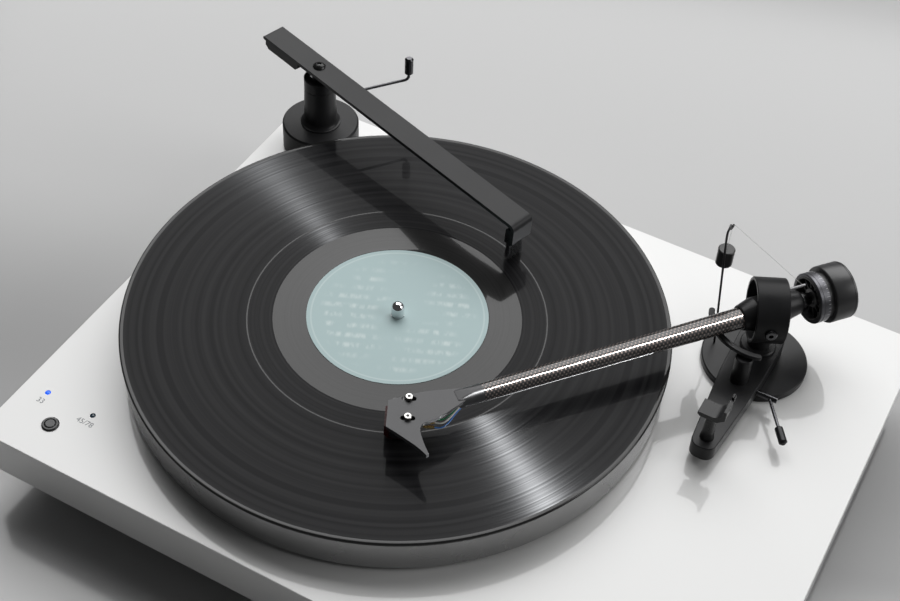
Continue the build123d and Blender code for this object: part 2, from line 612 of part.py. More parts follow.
# ---------------------------------------------------------------- tonearm: wand and counterweight
BARREL_R, BOSS_R, BOSS_REACH = 9.3, 2.6, 10.6
STUB_R, STUB_END = 3.45, 42.0
with BuildPart() as bearing_barrel:
    revolve(outline(upright(RING_CENTRE, ARM_DIR), [
        (17.5, TUBE_REAR_R), (17.5, 6.6), (16.9, 7.0), (9.0, BARREL_R), (-8.0, BARREL_R),
        (-10.0, 8.4), (-18.0, 6.8), (-19.6, 6.0), (-20.4, 4.8), (-20.4, STUB_R),
        (-10.0, STUB_R), (-10.0, 0), (8.0, 0), (8.0, TUBE_REAR_R)]),
        axis=Axis(RING_CENTRE, ARM_DIR))
    with BuildSketch(across(RING_CENTRE - PITCH_DIR * BOSS_REACH, PITCH_DIR)):
        Circle(BOSS_R)
    extrude(amount=BOSS_REACH - 8.5)
    with BuildSketch(across(RING_CENTRE + PITCH_DIR * 8.5, PITCH_DIR)):
        Circle(BOSS_R)
    extrude(amount=BOSS_REACH - 8.5)
keep(bearing_barrel.part, "bearing_barrel")

with BuildPart() as rear_stub:
    revolve(outline(upright(RING_CENTRE, REAR_DIR), [
        (10.0, 0), (10.0, STUB_R), (20.5, STUB_R), (20.5, 4.6), (22.6, 4.6), (22.6, STUB_R),
        (STUB_END - 0.6, STUB_R), (STUB_END, STUB_R - 0.6), (STUB_END, 0)]),
        axis=Axis(RING_CENTRE, REAR_DIR))
keep(rear_stub.part, "rear_stub")

THREAD_ROD_R, THREAD_ROD_Z = 0.9, 12.5
ROD_PLANE = upright(RING_CENTRE, REAR_DIR)
with BuildPart() as antiskate_stub:
    with BuildLine(ROD_PLANE) as rod_line:
        FilletPolyline((6.0, BARREL_R + 0.05), (6.0, THREAD_ROD_Z), (20.5, THREAD_ROD_Z), radius=2.0)
    with BuildSketch(Plane(origin=ROD_PLANE.from_local_coords((6.0, BARREL_R + 0.05, 0)), z_dir=UP)):
        Circle(THREAD_ROD_R)
    sweep(path=rod_line.line)
keep(antiskate_stub.part, "antiskate_stub")

PLATE_LOW, PLATE_HIGH = -0.4, 1.8
SHELL_TURN = -0.25
SHELL = RING_CENTRE + heading(ARM_YAW + SHELL_TURN) * MOUNT_REACH
SHELL_LEFT = UP.cross(SHELL_DIR)
SCREW_PLACES = [(0, -6.35), (0, 6.35)]


def shell_plane(height):
    """Horizontal plane through the cartridge screws' midpoint, x to the front of the headshell."""
    return Plane(origin=SHELL + UP * height, x_dir=SHELL_DIR, z_dir=UP)


INNER_EDGE = [(10.4, -4.6), (3.4, -7.4), (-4.2, -10.4), (-10.0, -12.1), (-18.6, -13.7), (-27.0, -15.4)]
OUTER_EDGE = [(-28.4, -7.0), (-21.5, -0.6), (-17.4, 3.2), (-11.0, 7.4), (-7.8, 9.4), (-6.6, 13.0),
              (-8.4, 20.4), (-11.6, 28.2)]
FRONT_EDGE = [(-10.4, 28.9), (-5.0, 23.6), (4.9, 16.2), (10.6, 12.3)]
BORE_END, SLOPE_END, MOUTH_END = 171.0, 183.0, 171.5
with BuildPart() as arm_tube:
    revolve(outline(upright(RING_CENTRE, ARM_DIR), [
        (8.2, TUBE_REAR_R - 0.75), (8.2, TUBE_REAR_R - 0.02), (17.6, TUBE_REAR_R - 0.02),
        (TUBE_FRONT, TUBE_FRONT_R), (TUBE_FRONT, 0), (BORE_END, 0), (BORE_END, TUBE_FRONT_R - 0.6),
        (17.6, TUBE_REAR_R - 0.75)]), axis=Axis(RING_CENTRE, ARM_DIR))
    # the front of the tube slopes down to the headshell above, and back to its open mouth below
    with BuildSketch(upright(RING_CENTRE, ARM_DIR)):
        with BuildLine():
            Polyline((168.0, 5.0), (190.0, 5.0), (190.0, PLATE_HIGH), (SLOPE_END, PLATE_HIGH),
                     close=True)
        make_face()
        with BuildLine():
            Polyline((161.0, -5.0), (190.0, -5.0), (190.0, PLATE_LOW), (MOUTH_END, PLATE_LOW),
                     close=True)
        make_face()
    extrude(amount=8, both=True, mode=Mode.SUBTRACT)
    with BuildSketch(shell_plane(PLATE_LOW)):
        with BuildLine():
            Spline(*INNER_EDGE)
            Polyline(INNER_EDGE[-1], (-31.5, -13.0), OUTER_EDGE[0])
            Spline(*OUTER_EDGE)
            Line(OUTER_EDGE[-1], FRONT_EDGE[0])
            Spline(*FRONT_EDGE)
            Line(FRONT_EDGE[-1], INNER_EDGE[0])
        make_face()
        with Locations(*SCREW_PLACES):
            SlotOverall(7.6, 2.9, mode=Mode.SUBTRACT)
            Circle(2.2, mode=Mode.SUBTRACT)
    extrude(amount=PLATE_HIGH - PLATE_LOW)
keep(arm_tube.part, "arm_tube")

with BuildPart() as headshell_screws:
    with BuildSketch(shell_plane(PLATE_HIGH)):
        with Locations(*SCREW_PLACES):
            Circle(1.95)
    extrude(amount=2.0)
    chamfer(headshell_screws.edges().group_by(Axis.Z)[-1], length=0.25)
    with BuildSketch(shell_plane(PLATE_HIGH + 2.0)):
        with Locations(*SCREW_PLACES):
            RegularPolygon(0.95, 6)
    extrude(amount=-1.3, mode=Mode.SUBTRACT)
    with BuildSketch(shell_plane(PLATE_HIGH)):
        with Locations(*SCREW_PLACES):
            Circle(1.2)
    extrude(amount=-(PLATE_HIGH - PLATE_LOW + 5.0))
keep(headshell_screws.part, "headshell_screws")


def beside_shell(y):
    """Upright plane along the headshell, y to its left, whose sketch y is the height."""
    return Plane(origin=SHELL + SHELL_LEFT * y, x_dir=SHELL_DIR, z_dir=-SHELL_LEFT)


CARTRIDGE_W, STYLUS_W = 16.2, 13.0
with BuildPart() as cartridge_body:
    with BuildSketch(beside_shell(CARTRIDGE_W / 2)):
        with BuildLine():
            Polyline((-7.0, PLATE_LOW), (9.2, PLATE_LOW), (9.2, -13.0), (-4.0, -13.0),
                     (-7.0, -10.6), close=True)
        make_face()
    extrude(amount=CARTRIDGE_W)
    chamfer(cartridge_body.edges().filter_by(Axis.Z), length=1.6)
    with BuildSketch(shell_plane(PLATE_LOW)):
        with Locations(*SCREW_PLACES):
            Circle(1.22)
    extrude(amount=-5.4, mode=Mode.SUBTRACT)
keep(cartridge_body.part, "cartridge_body")

TIP_X, TIP_Z = 9.8, GROOVE_TOP + GAP - ARM_Z
with BuildPart() as stylus_unit:
    with BuildSketch(beside_shell(STYLUS_W / 2)):
        with BuildLine():
            Polyline((9.3, -4.6), (11.8, -5.4), (12.0, -12.2), (9.0, -15.3), (-2.0, -15.3),
                     (-3.4, -13.1), (9.3, -13.1), close=True)
        make_face()
    extrude(amount=STYLUS_W)
    chamfer(stylus_unit.edges().filter_by(lambda edge: edge.length > STYLUS_W - 1).filter_by(
        Plane(origin=SHELL, z_dir=SHELL_DIR)).sort_by(Axis.Z)[:1], length=0.5)
    lever_root = SHELL + SHELL_DIR * 3.0 + UP * -14.6
    lever_tip = SHELL + SHELL_DIR * (TIP_X + 0.3) + UP * (TIP_Z + 0.75)
    with BuildSketch(Plane(origin=lever_root, z_dir=lever_tip - lever_root)):
        Circle(0.3)
    extrude(amount=(lever_tip - lever_root).length)
    tip_base = SHELL + SHELL_DIR * TIP_X + UP * (TIP_Z + 1.0)
    revolve(outline(upright(tip_base, SHELL_DIR), [
        (0, 0), (0.22, 0), (0.22, -0.6), (0.04, -1.0), (0, -1.0)]), axis=Axis(tip_base, UP))
keep(stylus_unit.part, "stylus_unit")

PIN_PLACES = {"lead_red": (-2.7, -5.2), "lead_white": (2.7, -5.2),
              "lead_green": (-2.7, -9.0), "lead_blue": (2.7, -9.0)}
PIN_START, PIN_END, CLIP_END = -7.0, -11.4, -13.6


def behind_shell(x, y, height):
    """Plane that faces the back of the headshell, at a place on it."""
    place = SHELL + SHELL_DIR * x + SHELL_LEFT * y + UP * height
    return Plane(origin=place, x_dir=SHELL_LEFT, z_dir=-SHELL_DIR)


with BuildPart() as cartridge_pins:
    for y, height in PIN_PLACES.values():
        with BuildSketch(behind_shell(PIN_START, y, height)):
            Circle(0.6)
        extrude(amount=PIN_START - PIN_END)
keep(cartridge_pins.part, "cartridge_pins")

def in_tube(reach, side, height):
    """Place in the tonearm tube: along its axis, to its left and up from it."""
    return RING_CENTRE + ARM_DIR * reach + UP.cross(ARM_DIR) * side + UP * height


# each lead runs from its clip into the mouth of the tube, a little apart from the others
LEAD_R, LEAD_CLIP_R = 0.33, 0.95
LEAD_MOUTH = {"lead_red": (-0.7, 0.7), "lead_white": (0.7, 0.7),
              "lead_green": (-0.7, -0.7), "lead_blue": (0.7, -0.7)}


def lead(name):
    """Clip on its pin and the wire from it into the tube; prints the wire's length and radii."""
    y, height = PIN_PLACES[name]
    across_mouth, up_mouth = LEAD_MOUTH[name]
    route = [(CLIP_END, y, height), (CLIP_END - 3.2, y + 0.6, height - 0.4),
             (CLIP_END - 7.2, y * 0.8 - 1.2, height * 0.75),
             (CLIP_END - 10.6, y * 0.45 - 5.4, height * 0.45 - 0.6)]
    points = [SHELL + SHELL_DIR * a + SHELL_LEFT * b + UP * c for a, b, c in route]
    points += [in_tube(176.5, 0.9 + across_mouth, -2.6 + up_mouth),
               in_tube(169.5, 0.2 + 0.9 * across_mouth, -2.1 + 0.9 * up_mouth),
               in_tube(163.0, 0.8 * across_mouth, -2.2 + 0.8 * up_mouth)]
    radii = []
    for before, corner, after in zip(points, points[1:], points[2:]):
        turn = radians((corner - before).get_angle(after - corner))
        run = min((corner - before).length, (after - corner).length)
        radii.append(0.45 * run / (sin(turn / 2) / cos(turn / 2)))
    with BuildPart() as wire:
        with BuildLine() as line:
            FilletPolyline(*points, radius=radii)
        with BuildSketch(Plane(origin=points[0], z_dir=points[1] - points[0])):
            Circle(LEAD_R)
        sweep(path=line.line)
        with BuildSketch(behind_shell(-9.0, y, height)):
            Circle(LEAD_CLIP_R)
            Circle(0.62, mode=Mode.SUBTRACT)
        extrude(amount=2.6)
        with BuildSketch(behind_shell(-11.6, y, height)):
            Circle(LEAD_CLIP_R)
        extrude(amount=-11.6 - CLIP_END + 0.3)
    print(name, "length", path_length(line), "radii", [round(radius, 1) for radius in radii])
    return wire.part


for name in PIN_PLACES:
    keep(lead(name), name)

WEIGHT_R, DIAL_R, DIAL_SEAT_R = 16.0, 14.2, 12.7
with BuildPart() as counterweight:
    revolve(outline(upright(RING_CENTRE, REAR_DIR), [
        (27.2, STUB_R + RUNNING), (27.2, 5.4), (30.0, 5.4), (30.0, 11.4), (25.0, 11.4),
        (25.0, DIAL_SEAT_R), (31.6, DIAL_SEAT_R), (31.6, 13.4), (34.0, 13.4),
        (34.0, WEIGHT_R - 0.5), (34.5, WEIGHT_R), (46.5, WEIGHT_R), (47.2, WEIGHT_R - 0.7),
        (47.2, 0), (46.0, 0), (46.0, STUB_R + RUNNING)]), axis=Axis(RING_CENTRE, REAR_DIR))
keep(counterweight.part, "counterweight")

with BuildPart() as counterweight_dial:
    revolve(outline(upright(RING_CENTRE, REAR_DIR), [
        (25.2, DIAL_SEAT_R + RUNNING), (25.2, DIAL_R - 0.4), (25.6, DIAL_R), (31.0, DIAL_R),
        (31.3, DIAL_R - 0.3), (31.3, DIAL_SEAT_R + RUNNING)]), axis=Axis(RING_CENTRE, REAR_DIR))
keep(counterweight_dial.part, "counterweight_dial")

# ---------------------------------------------------------------- anti-skating weight and thread
BOB_R, BOB_TOP, BOB_H = 4.6, 69.5, 11.0
BOB = Vector(EYE.X, EYE.Y, TOP_Z + BOB_TOP)
with BuildPart() as antiskate_weight:
    revolve(outline(upright(BOB, Vector(1, 0, 0)), [
        (0, 0), (BOB_R - 0.5, 0), (BOB_R, -0.5), (BOB_R, -BOB_H + 0.5), (BOB_R - 0.5, -BOB_H),
        (0, -BOB_H)]), axis=Axis(BOB, UP))
keep(antiskate_weight.part, "antiskate_weight")

THREAD_R = 0.12
THREAD_END = RING_CENTRE + REAR_DIR * 18.5 + UP * (THREAD_ROD_Z + THREAD_ROD_R + 0.15)
TO_ARM = Vector(THREAD_END.X - EYE.X, THREAD_END.Y - EYE.Y, 0).normalized()
THREAD_ROUTE = [BOB + UP * 0.02, EYE + TO_ARM * 0.5 + UP * 1.2, EYE + TO_ARM * 2.1 + UP * 1.3, THREAD_END]
with BuildPart() as antiskate_thread:
    with BuildLine() as thread_line:
        FilletPolyline(*THREAD_ROUTE, radius=[0.7, 1.6])
    with BuildSketch(Plane(origin=THREAD_ROUTE[0], z_dir=THREAD_ROUTE[1] - THREAD_ROUTE[0])):
        Circle(THREAD_R)
    sweep(path=thread_line.line)
keep(antiskate_thread.part, "antiskate_thread")
print("thread length", path_length(thread_line), "radii [0.7, 1.6], volume",
      round(antiskate_thread.part.volume, 2), round(pi * THREAD_R**2 * path_length(thread_line), 2))

# ---------------------------------------------------------------- record brush
POST_LOW, POST_HIGH, CAP_HIGH = 18.0, 45.0, 53.0
PUCK_R, POST_R, TURN_R = 23.8, 9.6, 4.0
HINGE_Z, HINGE_R = 55.8, 1.0
BROOM = level(*BROOM_XY).origin
BAR_DIR = heading(BAR_YAW, -BAR_DROP)
FLAT_DIR = heading(BAR_YAW)
HINGE_DIR = heading(BAR_YAW + 90)
BAR_UP = BAR_DIR.cross(HINGE_DIR)
BAR_ORIGIN = BROOM + UP * BAR_TOP

with BuildPart() as broom_base:
    revolve(outline(upright(BROOM, Vector(1, 0, 0)), [
        (0, 0), (PUCK_R - 0.5, 0), (PUCK_R, 0.5), (PUCK_R, POST_LOW - 1.0),
        (PUCK_R - 1.0, POST_LOW), (0, POST_LOW)]), axis=Axis(BROOM, UP))
keep(broom_base.part, "broom_base")

with BuildPart() as broom_post:
    with BuildSketch(upright(BROOM, Vector(1, 0, 0))):
        with BuildLine():
            Polyline((0, 29.0), (0, POST_LOW), (12.4, POST_LOW), (12.4, POST_LOW + 0.7))
            ThreePointArc((12.4, POST_LOW + 0.7), (10.9, POST_LOW + 1.7), (10.2, POST_LOW + 3.6))
            Polyline((10.2, POST_LOW + 3.6), (POST_R, POST_HIGH), (TURN_R + RUNNING, POST_HIGH),
                     (TURN_R + RUNNING, 29.0), (0, 29.0))
        make_face()
    revolve(axis=Axis(BROOM, UP))
keep(broom_post.part, "broom_post")

TONGUE_W, CHEEK_T = 8.0, 2.0
with BuildPart() as broom_cap:
    revolve(outline(upright(BROOM, Vector(1, 0, 0)), [
        (0, 29.3), (TURN_R, 29.3), (TURN_R, POST_HIGH + GAP), (POST_R, POST_HIGH + GAP),
        (POST_R, CAP_HIGH - 0.6), (POST_R - 0.6, CAP_HIGH), (0, CAP_HIGH)]), axis=Axis(BROOM, UP))
    for side in (-TONGUE_W / 2 - 0.15 - CHEEK_T, TONGUE_W / 2 + 0.15):
        with BuildSketch(across(BROOM + HINGE_DIR * side, HINGE_DIR)):
            with Locations((0, (CAP_HIGH + HINGE_Z) / 2)):
                Rectangle(4.6, HINGE_Z - CAP_HIGH)
            with Locations((0, HINGE_Z)):
                Circle(1.6)
                Circle(HINGE_R + 0.02, mode=Mode.SUBTRACT)
        extrude(amount=CHEEK_T)
keep(broom_cap.part, "broom_cap")

with BuildPart() as broom_pin:
    with BuildSketch(across(BROOM + UP * HINGE_Z - HINGE_DIR * 6.4, HINGE_DIR)):
        Circle(HINGE_R)
    extrude(amount=12.8)
keep(broom_pin.part, "broom_pin")


def beside_bar(y):
    """Upright plane along the bar, y to its left, whose sketch y is square to the bar."""
    return Plane(origin=BAR_ORIGIN + HINGE_DIR * y, x_dir=BAR_DIR, z_dir=-HINGE_DIR)


LIP, BEND_R = 14.5, 4.0
with BuildPart() as broom_bar:
    with BuildSketch(beside_bar(BAR_W / 2)):
        with BuildLine() as bar_line:
            FilletPolyline((BAR_T / 2 - BAR_REAR, -BAR_T / 2),
                           (BAR_FRONT - BAR_T / 2, -BAR_T / 2),
                           (BAR_FRONT - BAR_T / 2, BAR_T / 2 - LIP), radius=BEND_R - BAR_T / 2)
            offset(amount=BAR_T / 2, side=Side.BOTH, kind=Kind.INTERSECTION)
        make_face()
    extrude(amount=BAR_W)
    with BuildSketch(across(BROOM - HINGE_DIR * TONGUE_W / 2, HINGE_DIR)):
        with Locations((0, (HINGE_Z - 1.2 + BAR_TOP - BAR_T / 2) / 2)):
            Rectangle(4.0, BAR_TOP - BAR_T / 2 - HINGE_Z + 1.2)
    extrude(amount=TONGUE_W)
    with BuildSketch(across(BROOM + UP * HINGE_Z - HINGE_DIR * 6, HINGE_DIR)):
        Circle(HINGE_R + RUNNING)
    extrude(amount=12, mode=Mode.SUBTRACT)
keep(broom_bar.part, "broom_bar")

with BuildPart() as bar_screw:
    with BuildSketch(upright(BAR_ORIGIN, Vector(1, 0, 0))):
        with BuildLine():
            Polyline((0, 2.2), (0, 0), (3.85, 0), (3.85, 0.4))
            dome(3.85, 0.4, 2.2)
        make_face()
    revolve(axis=Axis(BAR_ORIGIN, UP))
    with BuildSketch(level(*BROOM_XY, BAR_TOP + 1.3)):
        RegularPolygon(1.5, 6)
    extrude(amount=1.5, mode=Mode.SUBTRACT)
bar_screw_seated = bar_screw.part.rotate(Axis(BAR_ORIGIN, HINGE_DIR), BAR_DROP)
keep(bar_screw_seated, "bar_screw")

with BuildPart() as broom_weight:
    with BuildSketch(beside_bar(6.5)):
        with BuildLine():
            Polyline((-43.0, -BAR_T), (-12.5, -BAR_T), (-12.5, -BAR_T - 4.0),
                     (-15.0, -BAR_T - 6.5), (-40.5, -BAR_T - 6.5), (-43.0, -BAR_T - 4.0),
                     close=True)
        make_face()
    extrude(amount=13.0)
keep(broom_weight.part, "broom_weight")

LIFT_ROOT, LIFT_SWEEP, LIFT_LENGTH, FINGER_ROD_R = 26.6, 51.8, 39.0, 0.9
TIP_R, TIP_L = 2.6, 11.0
ROD_START = BAR_ORIGIN + BAR_DIR * LIFT_ROOT - BAR_UP * (BAR_T + FINGER_ROD_R + 0.25)
ROD_BEND = ROD_START + heading(LIFT_SWEEP) * LIFT_LENGTH
TIP_FOOT = ROD_BEND + UP * 5.0
with BuildPart() as finger_lift:
    with BuildLine() as lift_line:
        FilletPolyline(ROD_START, ROD_BEND, TIP_FOOT, radius=2.5)
    with BuildSketch(Plane(origin=ROD_START, z_dir=ROD_BEND - ROD_START)):
        Circle(FINGER_ROD_R)
    sweep(path=lift_line.line)
    revolve(outline(upright(TIP_FOOT, Vector(1, 0, 0)), [
        (0, -0.5), (TIP_R - 0.5, -0.5), (TIP_R, 0), (TIP_R, TIP_L - 1.0), (TIP_R - 1.0, TIP_L),
        (0, TIP_L)]), axis=Axis(TIP_FOOT, UP))
    with BuildSketch(Plane(origin=ROD_START, x_dir=HINGE_DIR, z_dir=BAR_UP)):
        Circle(1.7)
    extrude(amount=FINGER_ROD_R + 0.24)
keep(finger_lift.part, "finger_lift")

HOLDER_W, HOLDER_T, HOLDER_LOW = 11.5, 5.0, -17.5
LIP_INNER = BAR_FRONT - BAR_T
with BuildPart() as brush_holder:
    with BuildSketch(beside_bar(HOLDER_W / 2)):
        with BuildLine():
            Polyline((LIP_INNER - HOLDER_T, -BAR_T - 4.0), (LIP_INNER, -BAR_T - 4.0),
                     (LIP_INNER, HOLDER_LOW), (LIP_INNER - HOLDER_T, HOLDER_LOW), close=True)
        make_face()
    extrude(amount=HOLDER_W)
    fillet(brush_holder.edges().filter_by(lambda edge: abs(edge.length - HOLDER_W) < 0.1)
           .sort_by(Axis.Z)[-2:], radius=1.6)
keep(brush_holder.part, "brush_holder")

BRISTLE_W, BRISTLE_T = 10.5, 2.6
BRISTLE_TOP = BAR_ORIGIN + BAR_DIR * (LIP_INNER - HOLDER_T / 2) + BAR_UP * HOLDER_LOW
BRISTLE_LENGTH = BRISTLE_TOP.Z - TOP_Z - RECORD_TOP - GAP
with BuildPart() as brush_bristles:
    with BuildSketch(Plane(origin=BRISTLE_TOP, x_dir=HINGE_DIR, z_dir=-BAR_UP)):
        Rectangle(BRISTLE_W, BRISTLE_T)
    with BuildSketch(Plane(origin=BRISTLE_TOP - UP * BRISTLE_LENGTH, x_dir=HINGE_DIR, z_dir=-UP)):
        Rectangle(BRISTLE_W + 1.5, BRISTLE_T + 1.2)
    loft()
keep(brush_bristles.part, "brush_bristles")
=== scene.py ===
"""Looks of the belt-drive record player: camera, light, materials and the finer pieces."""
import bpy
import bmesh
import json
import random
from math import atan2, cos, hypot, pi, radians, sin
from mathutils import Matrix, Vector


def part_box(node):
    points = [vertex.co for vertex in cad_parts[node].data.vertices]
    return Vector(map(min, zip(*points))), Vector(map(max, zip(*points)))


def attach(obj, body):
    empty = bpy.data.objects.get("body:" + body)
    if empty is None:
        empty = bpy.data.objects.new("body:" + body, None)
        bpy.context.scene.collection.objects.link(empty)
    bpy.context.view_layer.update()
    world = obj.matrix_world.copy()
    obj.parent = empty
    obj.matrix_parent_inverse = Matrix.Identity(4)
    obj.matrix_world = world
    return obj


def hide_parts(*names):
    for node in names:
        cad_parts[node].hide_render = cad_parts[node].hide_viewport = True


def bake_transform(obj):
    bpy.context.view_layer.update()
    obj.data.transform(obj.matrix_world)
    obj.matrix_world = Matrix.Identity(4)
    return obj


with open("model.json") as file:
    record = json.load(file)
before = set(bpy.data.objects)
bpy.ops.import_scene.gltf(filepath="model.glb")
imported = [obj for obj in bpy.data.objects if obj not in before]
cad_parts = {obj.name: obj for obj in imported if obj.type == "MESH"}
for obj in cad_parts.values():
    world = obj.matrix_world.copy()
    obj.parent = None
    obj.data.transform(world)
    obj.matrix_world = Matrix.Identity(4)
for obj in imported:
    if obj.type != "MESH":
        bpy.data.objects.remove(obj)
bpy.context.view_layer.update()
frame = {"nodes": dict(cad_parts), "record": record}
NODES = frame["nodes"]
UP = Vector((0, 0, 1))
MM = 0.001

# ---------------------------------------------------------------- places read from the model
JOINTS = {joint["name"]: joint for joint in frame["record"]["behaviour"]["joints"]}
SPINDLE = Vector(JOINTS["platter_spin"]["pos_m"])
RING_CENTRE = Vector(JOINTS["arm_pitch"]["pos_m"])
BROOM = Vector(JOINTS["broom_swing"]["pos_m"])
REAR_DIR = Vector(JOINTS["counterweight_slide"]["axis"]).normalized()
ARM_DIR = -REAR_DIR
HINGE_DIR = -Vector(JOINTS["broom_pitch"]["axis"]).normalized()
TOP_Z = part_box("plinth_board")[1].z
RECORD_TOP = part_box("record")[1].z
ARM_YAW = atan2(ARM_DIR.y, ARM_DIR.x)
SHELL_OFFSET = radians(23.9)  # turn of the headshell against the tube
SHELL_DIR = Vector((cos(ARM_YAW - SHELL_OFFSET), sin(ARM_YAW - SHELL_OFFSET), 0))
SHELL_LEFT = UP.cross(SHELL_DIR)
SHELL_REACH = 207.5 * MM  # from the pivot to the middle of the headshell's screws
SHELL_YAW = ARM_YAW - radians(0.25)
SHELL = RING_CENTRE + Vector((cos(SHELL_YAW), sin(SHELL_YAW), 0)) * SHELL_REACH

# ---------------------------------------------------------------- camera
# solved from the plinth's corners, the record's rim and the spindle in the photograph
CAMERA_PLACE = (0.233361, -0.491390, 0.693439)
LENS, SENSOR = 61.04, 36.0
camera_data = bpy.data.cameras.new("camera")
camera_data.lens, camera_data.sensor_width = LENS, SENSOR
camera_data.clip_start, camera_data.clip_end = 0.01, 60.0
camera = bpy.data.objects.new("camera", camera_data)
view_right = Vector((0.87591, 0.48063, 0.04171))
view_up = Vector((-0.37533, 0.62444, 0.68503))
view_back = view_right.cross(view_up)
camera.matrix_world = Matrix.Translation(CAMERA_PLACE) @ Matrix(
    (view_right, view_up, view_back)).transposed().to_4x4()
bpy.context.collection.objects.link(camera)
bpy.context.scene.camera = camera


# ---------------------------------------------------------------- material helpers
WAVE_PERIOD = 0.314  # width of one band of the wave texture at scale 1


class Look:
    """A Principled material, built up with procedural detail."""

    def __init__(self, name, color, rough=0.4, metal=0.0, **sockets):
        self.material = bpy.data.materials.new(name)
        self.material.use_nodes = True
        self.tree = self.material.node_tree
        self.shader = self.tree.nodes["Principled BSDF"]
        self.shader.inputs["Base Color"].default_value = (*color, 1)
        self.shader.inputs["Roughness"].default_value = rough
        self.shader.inputs["Metallic"].default_value = metal
        for socket, value in sockets.items():
            self.shader.inputs[socket.replace("_", " ")].default_value = value
        self.color, self.rough = color, rough
        self.height = None

    def add(self, kind, **settings):
        node = self.tree.nodes.new("ShaderNode" + kind)
        for key, value in settings.items():
            setattr(node, key, value)
        return node

    def link(self, output, socket):
        self.tree.links.new(output, socket)

    def place(self, scale=(1, 1, 1), origin=(0, 0, 0), uv=False):
        """Coordinates from the object, or its UVs, moved to origin and scaled."""
        source = self.add("TexCoord")
        mapping = self.add("Mapping")
        mapping.inputs["Location"].default_value = [-o * s for o, s in zip(origin, scale)]
        mapping.inputs["Scale"].default_value = scale
        self.link(source.outputs["UV" if uv else "Object"], mapping.inputs["Vector"])
        return mapping.outputs["Vector"]

    def noise(self, scale, detail=4.0, rough=0.5, where=None):
        node = self.add("TexNoise")
        node.inputs["Scale"].default_value = scale
        node.inputs["Detail"].default_value = detail
        node.inputs["Roughness"].default_value = rough
        self.link(where or self.place(), node.inputs["Vector"])
        return node.outputs["Fac"]

    def math(self, operation, a, b=None, c=None):
        node = self.add("Math", operation=operation)
        for socket, value in zip(node.inputs, (a, b, c)):
            if value is None:
                continue
            if isinstance(value, (int, float)):
                socket.default_value = value
            else:
                self.link(value, socket)
        return node.outputs[0]

    def spread(self, value, low, high, start=0.0, end=1.0):
        """value from start..end stretched to low..high."""
        node = self.add("MapRange")
        for socket, number in zip(("From Min", "From Max", "To Min", "To Max"),
                                  (start, end, low, high)):
            node.inputs[socket].default_value = number
        self.link(value, node.inputs["Value"])
        return node.outputs["Result"]

    def ramp(self, value, stops, easing="LINEAR"):
        node = self.add("ValToRGB")
        node.color_ramp.interpolation = easing
        elements = node.color_ramp.elements
        while len(elements) < len(stops):
            elements.new(0.5)
        for element, (position, color) in zip(elements, stops):
            element.position = position
            element.color = (*color, 1)
        self.link(value, node.inputs["Fac"])
        return node.outputs["Color"]

    def blend(self, share, a, b):
        """Colour a where share is 0 and b where it is 1."""
        node = self.add("Mix", data_type="RGBA")
        self.link(share, node.inputs[0])
        for socket, value in ((node.inputs[6], a), (node.inputs[7], b)):
            if isinstance(value, tuple):
                socket.default_value = (*value, 1)
            else:
                self.link(value, socket)
        return node.outputs[2]

    def paint(self, output):
        self.link(output, self.shader.inputs["Base Color"])
        return self

    def vary(self, scale=14.0, colour=0.1, rough=0.06):
        """Soft uneven colour and gloss, as any real finish has."""
        cloud = self.noise(scale, 5.0, 0.6)
        if colour:
            dark = tuple(c * (1 - colour) for c in self.color)
            light = tuple(min(1, c * (1 + colour)) for c in self.color)
            self.paint(self.blend(self.spread(cloud, 0, 1, 0.3, 0.7), dark, light))
        if rough:
            low, high = max(0.02, self.rough - rough), self.rough + rough
            self.link(self.spread(cloud, low, high, 0.3, 0.7), self.shader.inputs["Roughness"])
        return self

    def bump(self, height, distance, strength=1.0):
        node = self.add("Bump")
        node.inputs["Strength"].default_value = strength
        node.inputs["Distance"].default_value = distance
        self.link(height, node.inputs["Height"])
        if self.height:
            self.link(self.height, node.inputs["Normal"])
        self.height = node.outputs["Normal"]
        self.link(self.height, self.shader.inputs["Normal"])
        return self

    def grain(self, scale=2600.0, distance=0.00002, strength=0.6):
        """Fine blasted or moulded texture."""
        return self.bump(self.noise(scale, 2.0), distance, strength)

    def turned(self, origin, axis, pitch=0.0004, distance=0.00001, strength=0.5):
        """Fine rings left by a lathe, square to axis."""
        wave = self.add("TexWave", wave_type="BANDS", bands_direction="X")
        wave.inputs["Scale"].default_value = 1.0
        wave.inputs["Distortion"].default_value = 0.4
        mapping = self.add("Mapping", vector_type="POINT")
        rotation = Vector(axis).rotation_difference(Vector((1, 0, 0))).to_euler()
        mapping.inputs["Rotation"].default_value = rotation
        mapping.inputs["Scale"].default_value = (WAVE_PERIOD / pitch,) * 3
        source = self.add("TexCoord")
        self.link(source.outputs["Object"], mapping.inputs["Vector"])
        self.link(mapping.outputs["Vector"], wave.inputs["Vector"])
        return self.bump(wave.outputs["Fac"], distance, strength)

    def dress(self, *names):
        """Give this material to CAD nodes."""
        for name in names:
            mesh = NODES[name].data
            mesh.materials.clear()
            mesh.materials.append(self.material)
        return self


# ---------------------------------------------------------------- mesh helpers
def metres(points):
    """Points given in millimetres, in metres."""
    return [tuple(number * MM for number in point) for point in points]


def strip(start, end, half):
    """Outline in metres of a strip along x, from start to end, given in millimetres."""
    return metres([(start, -half), (end, -half), (end, half), (start, half)])


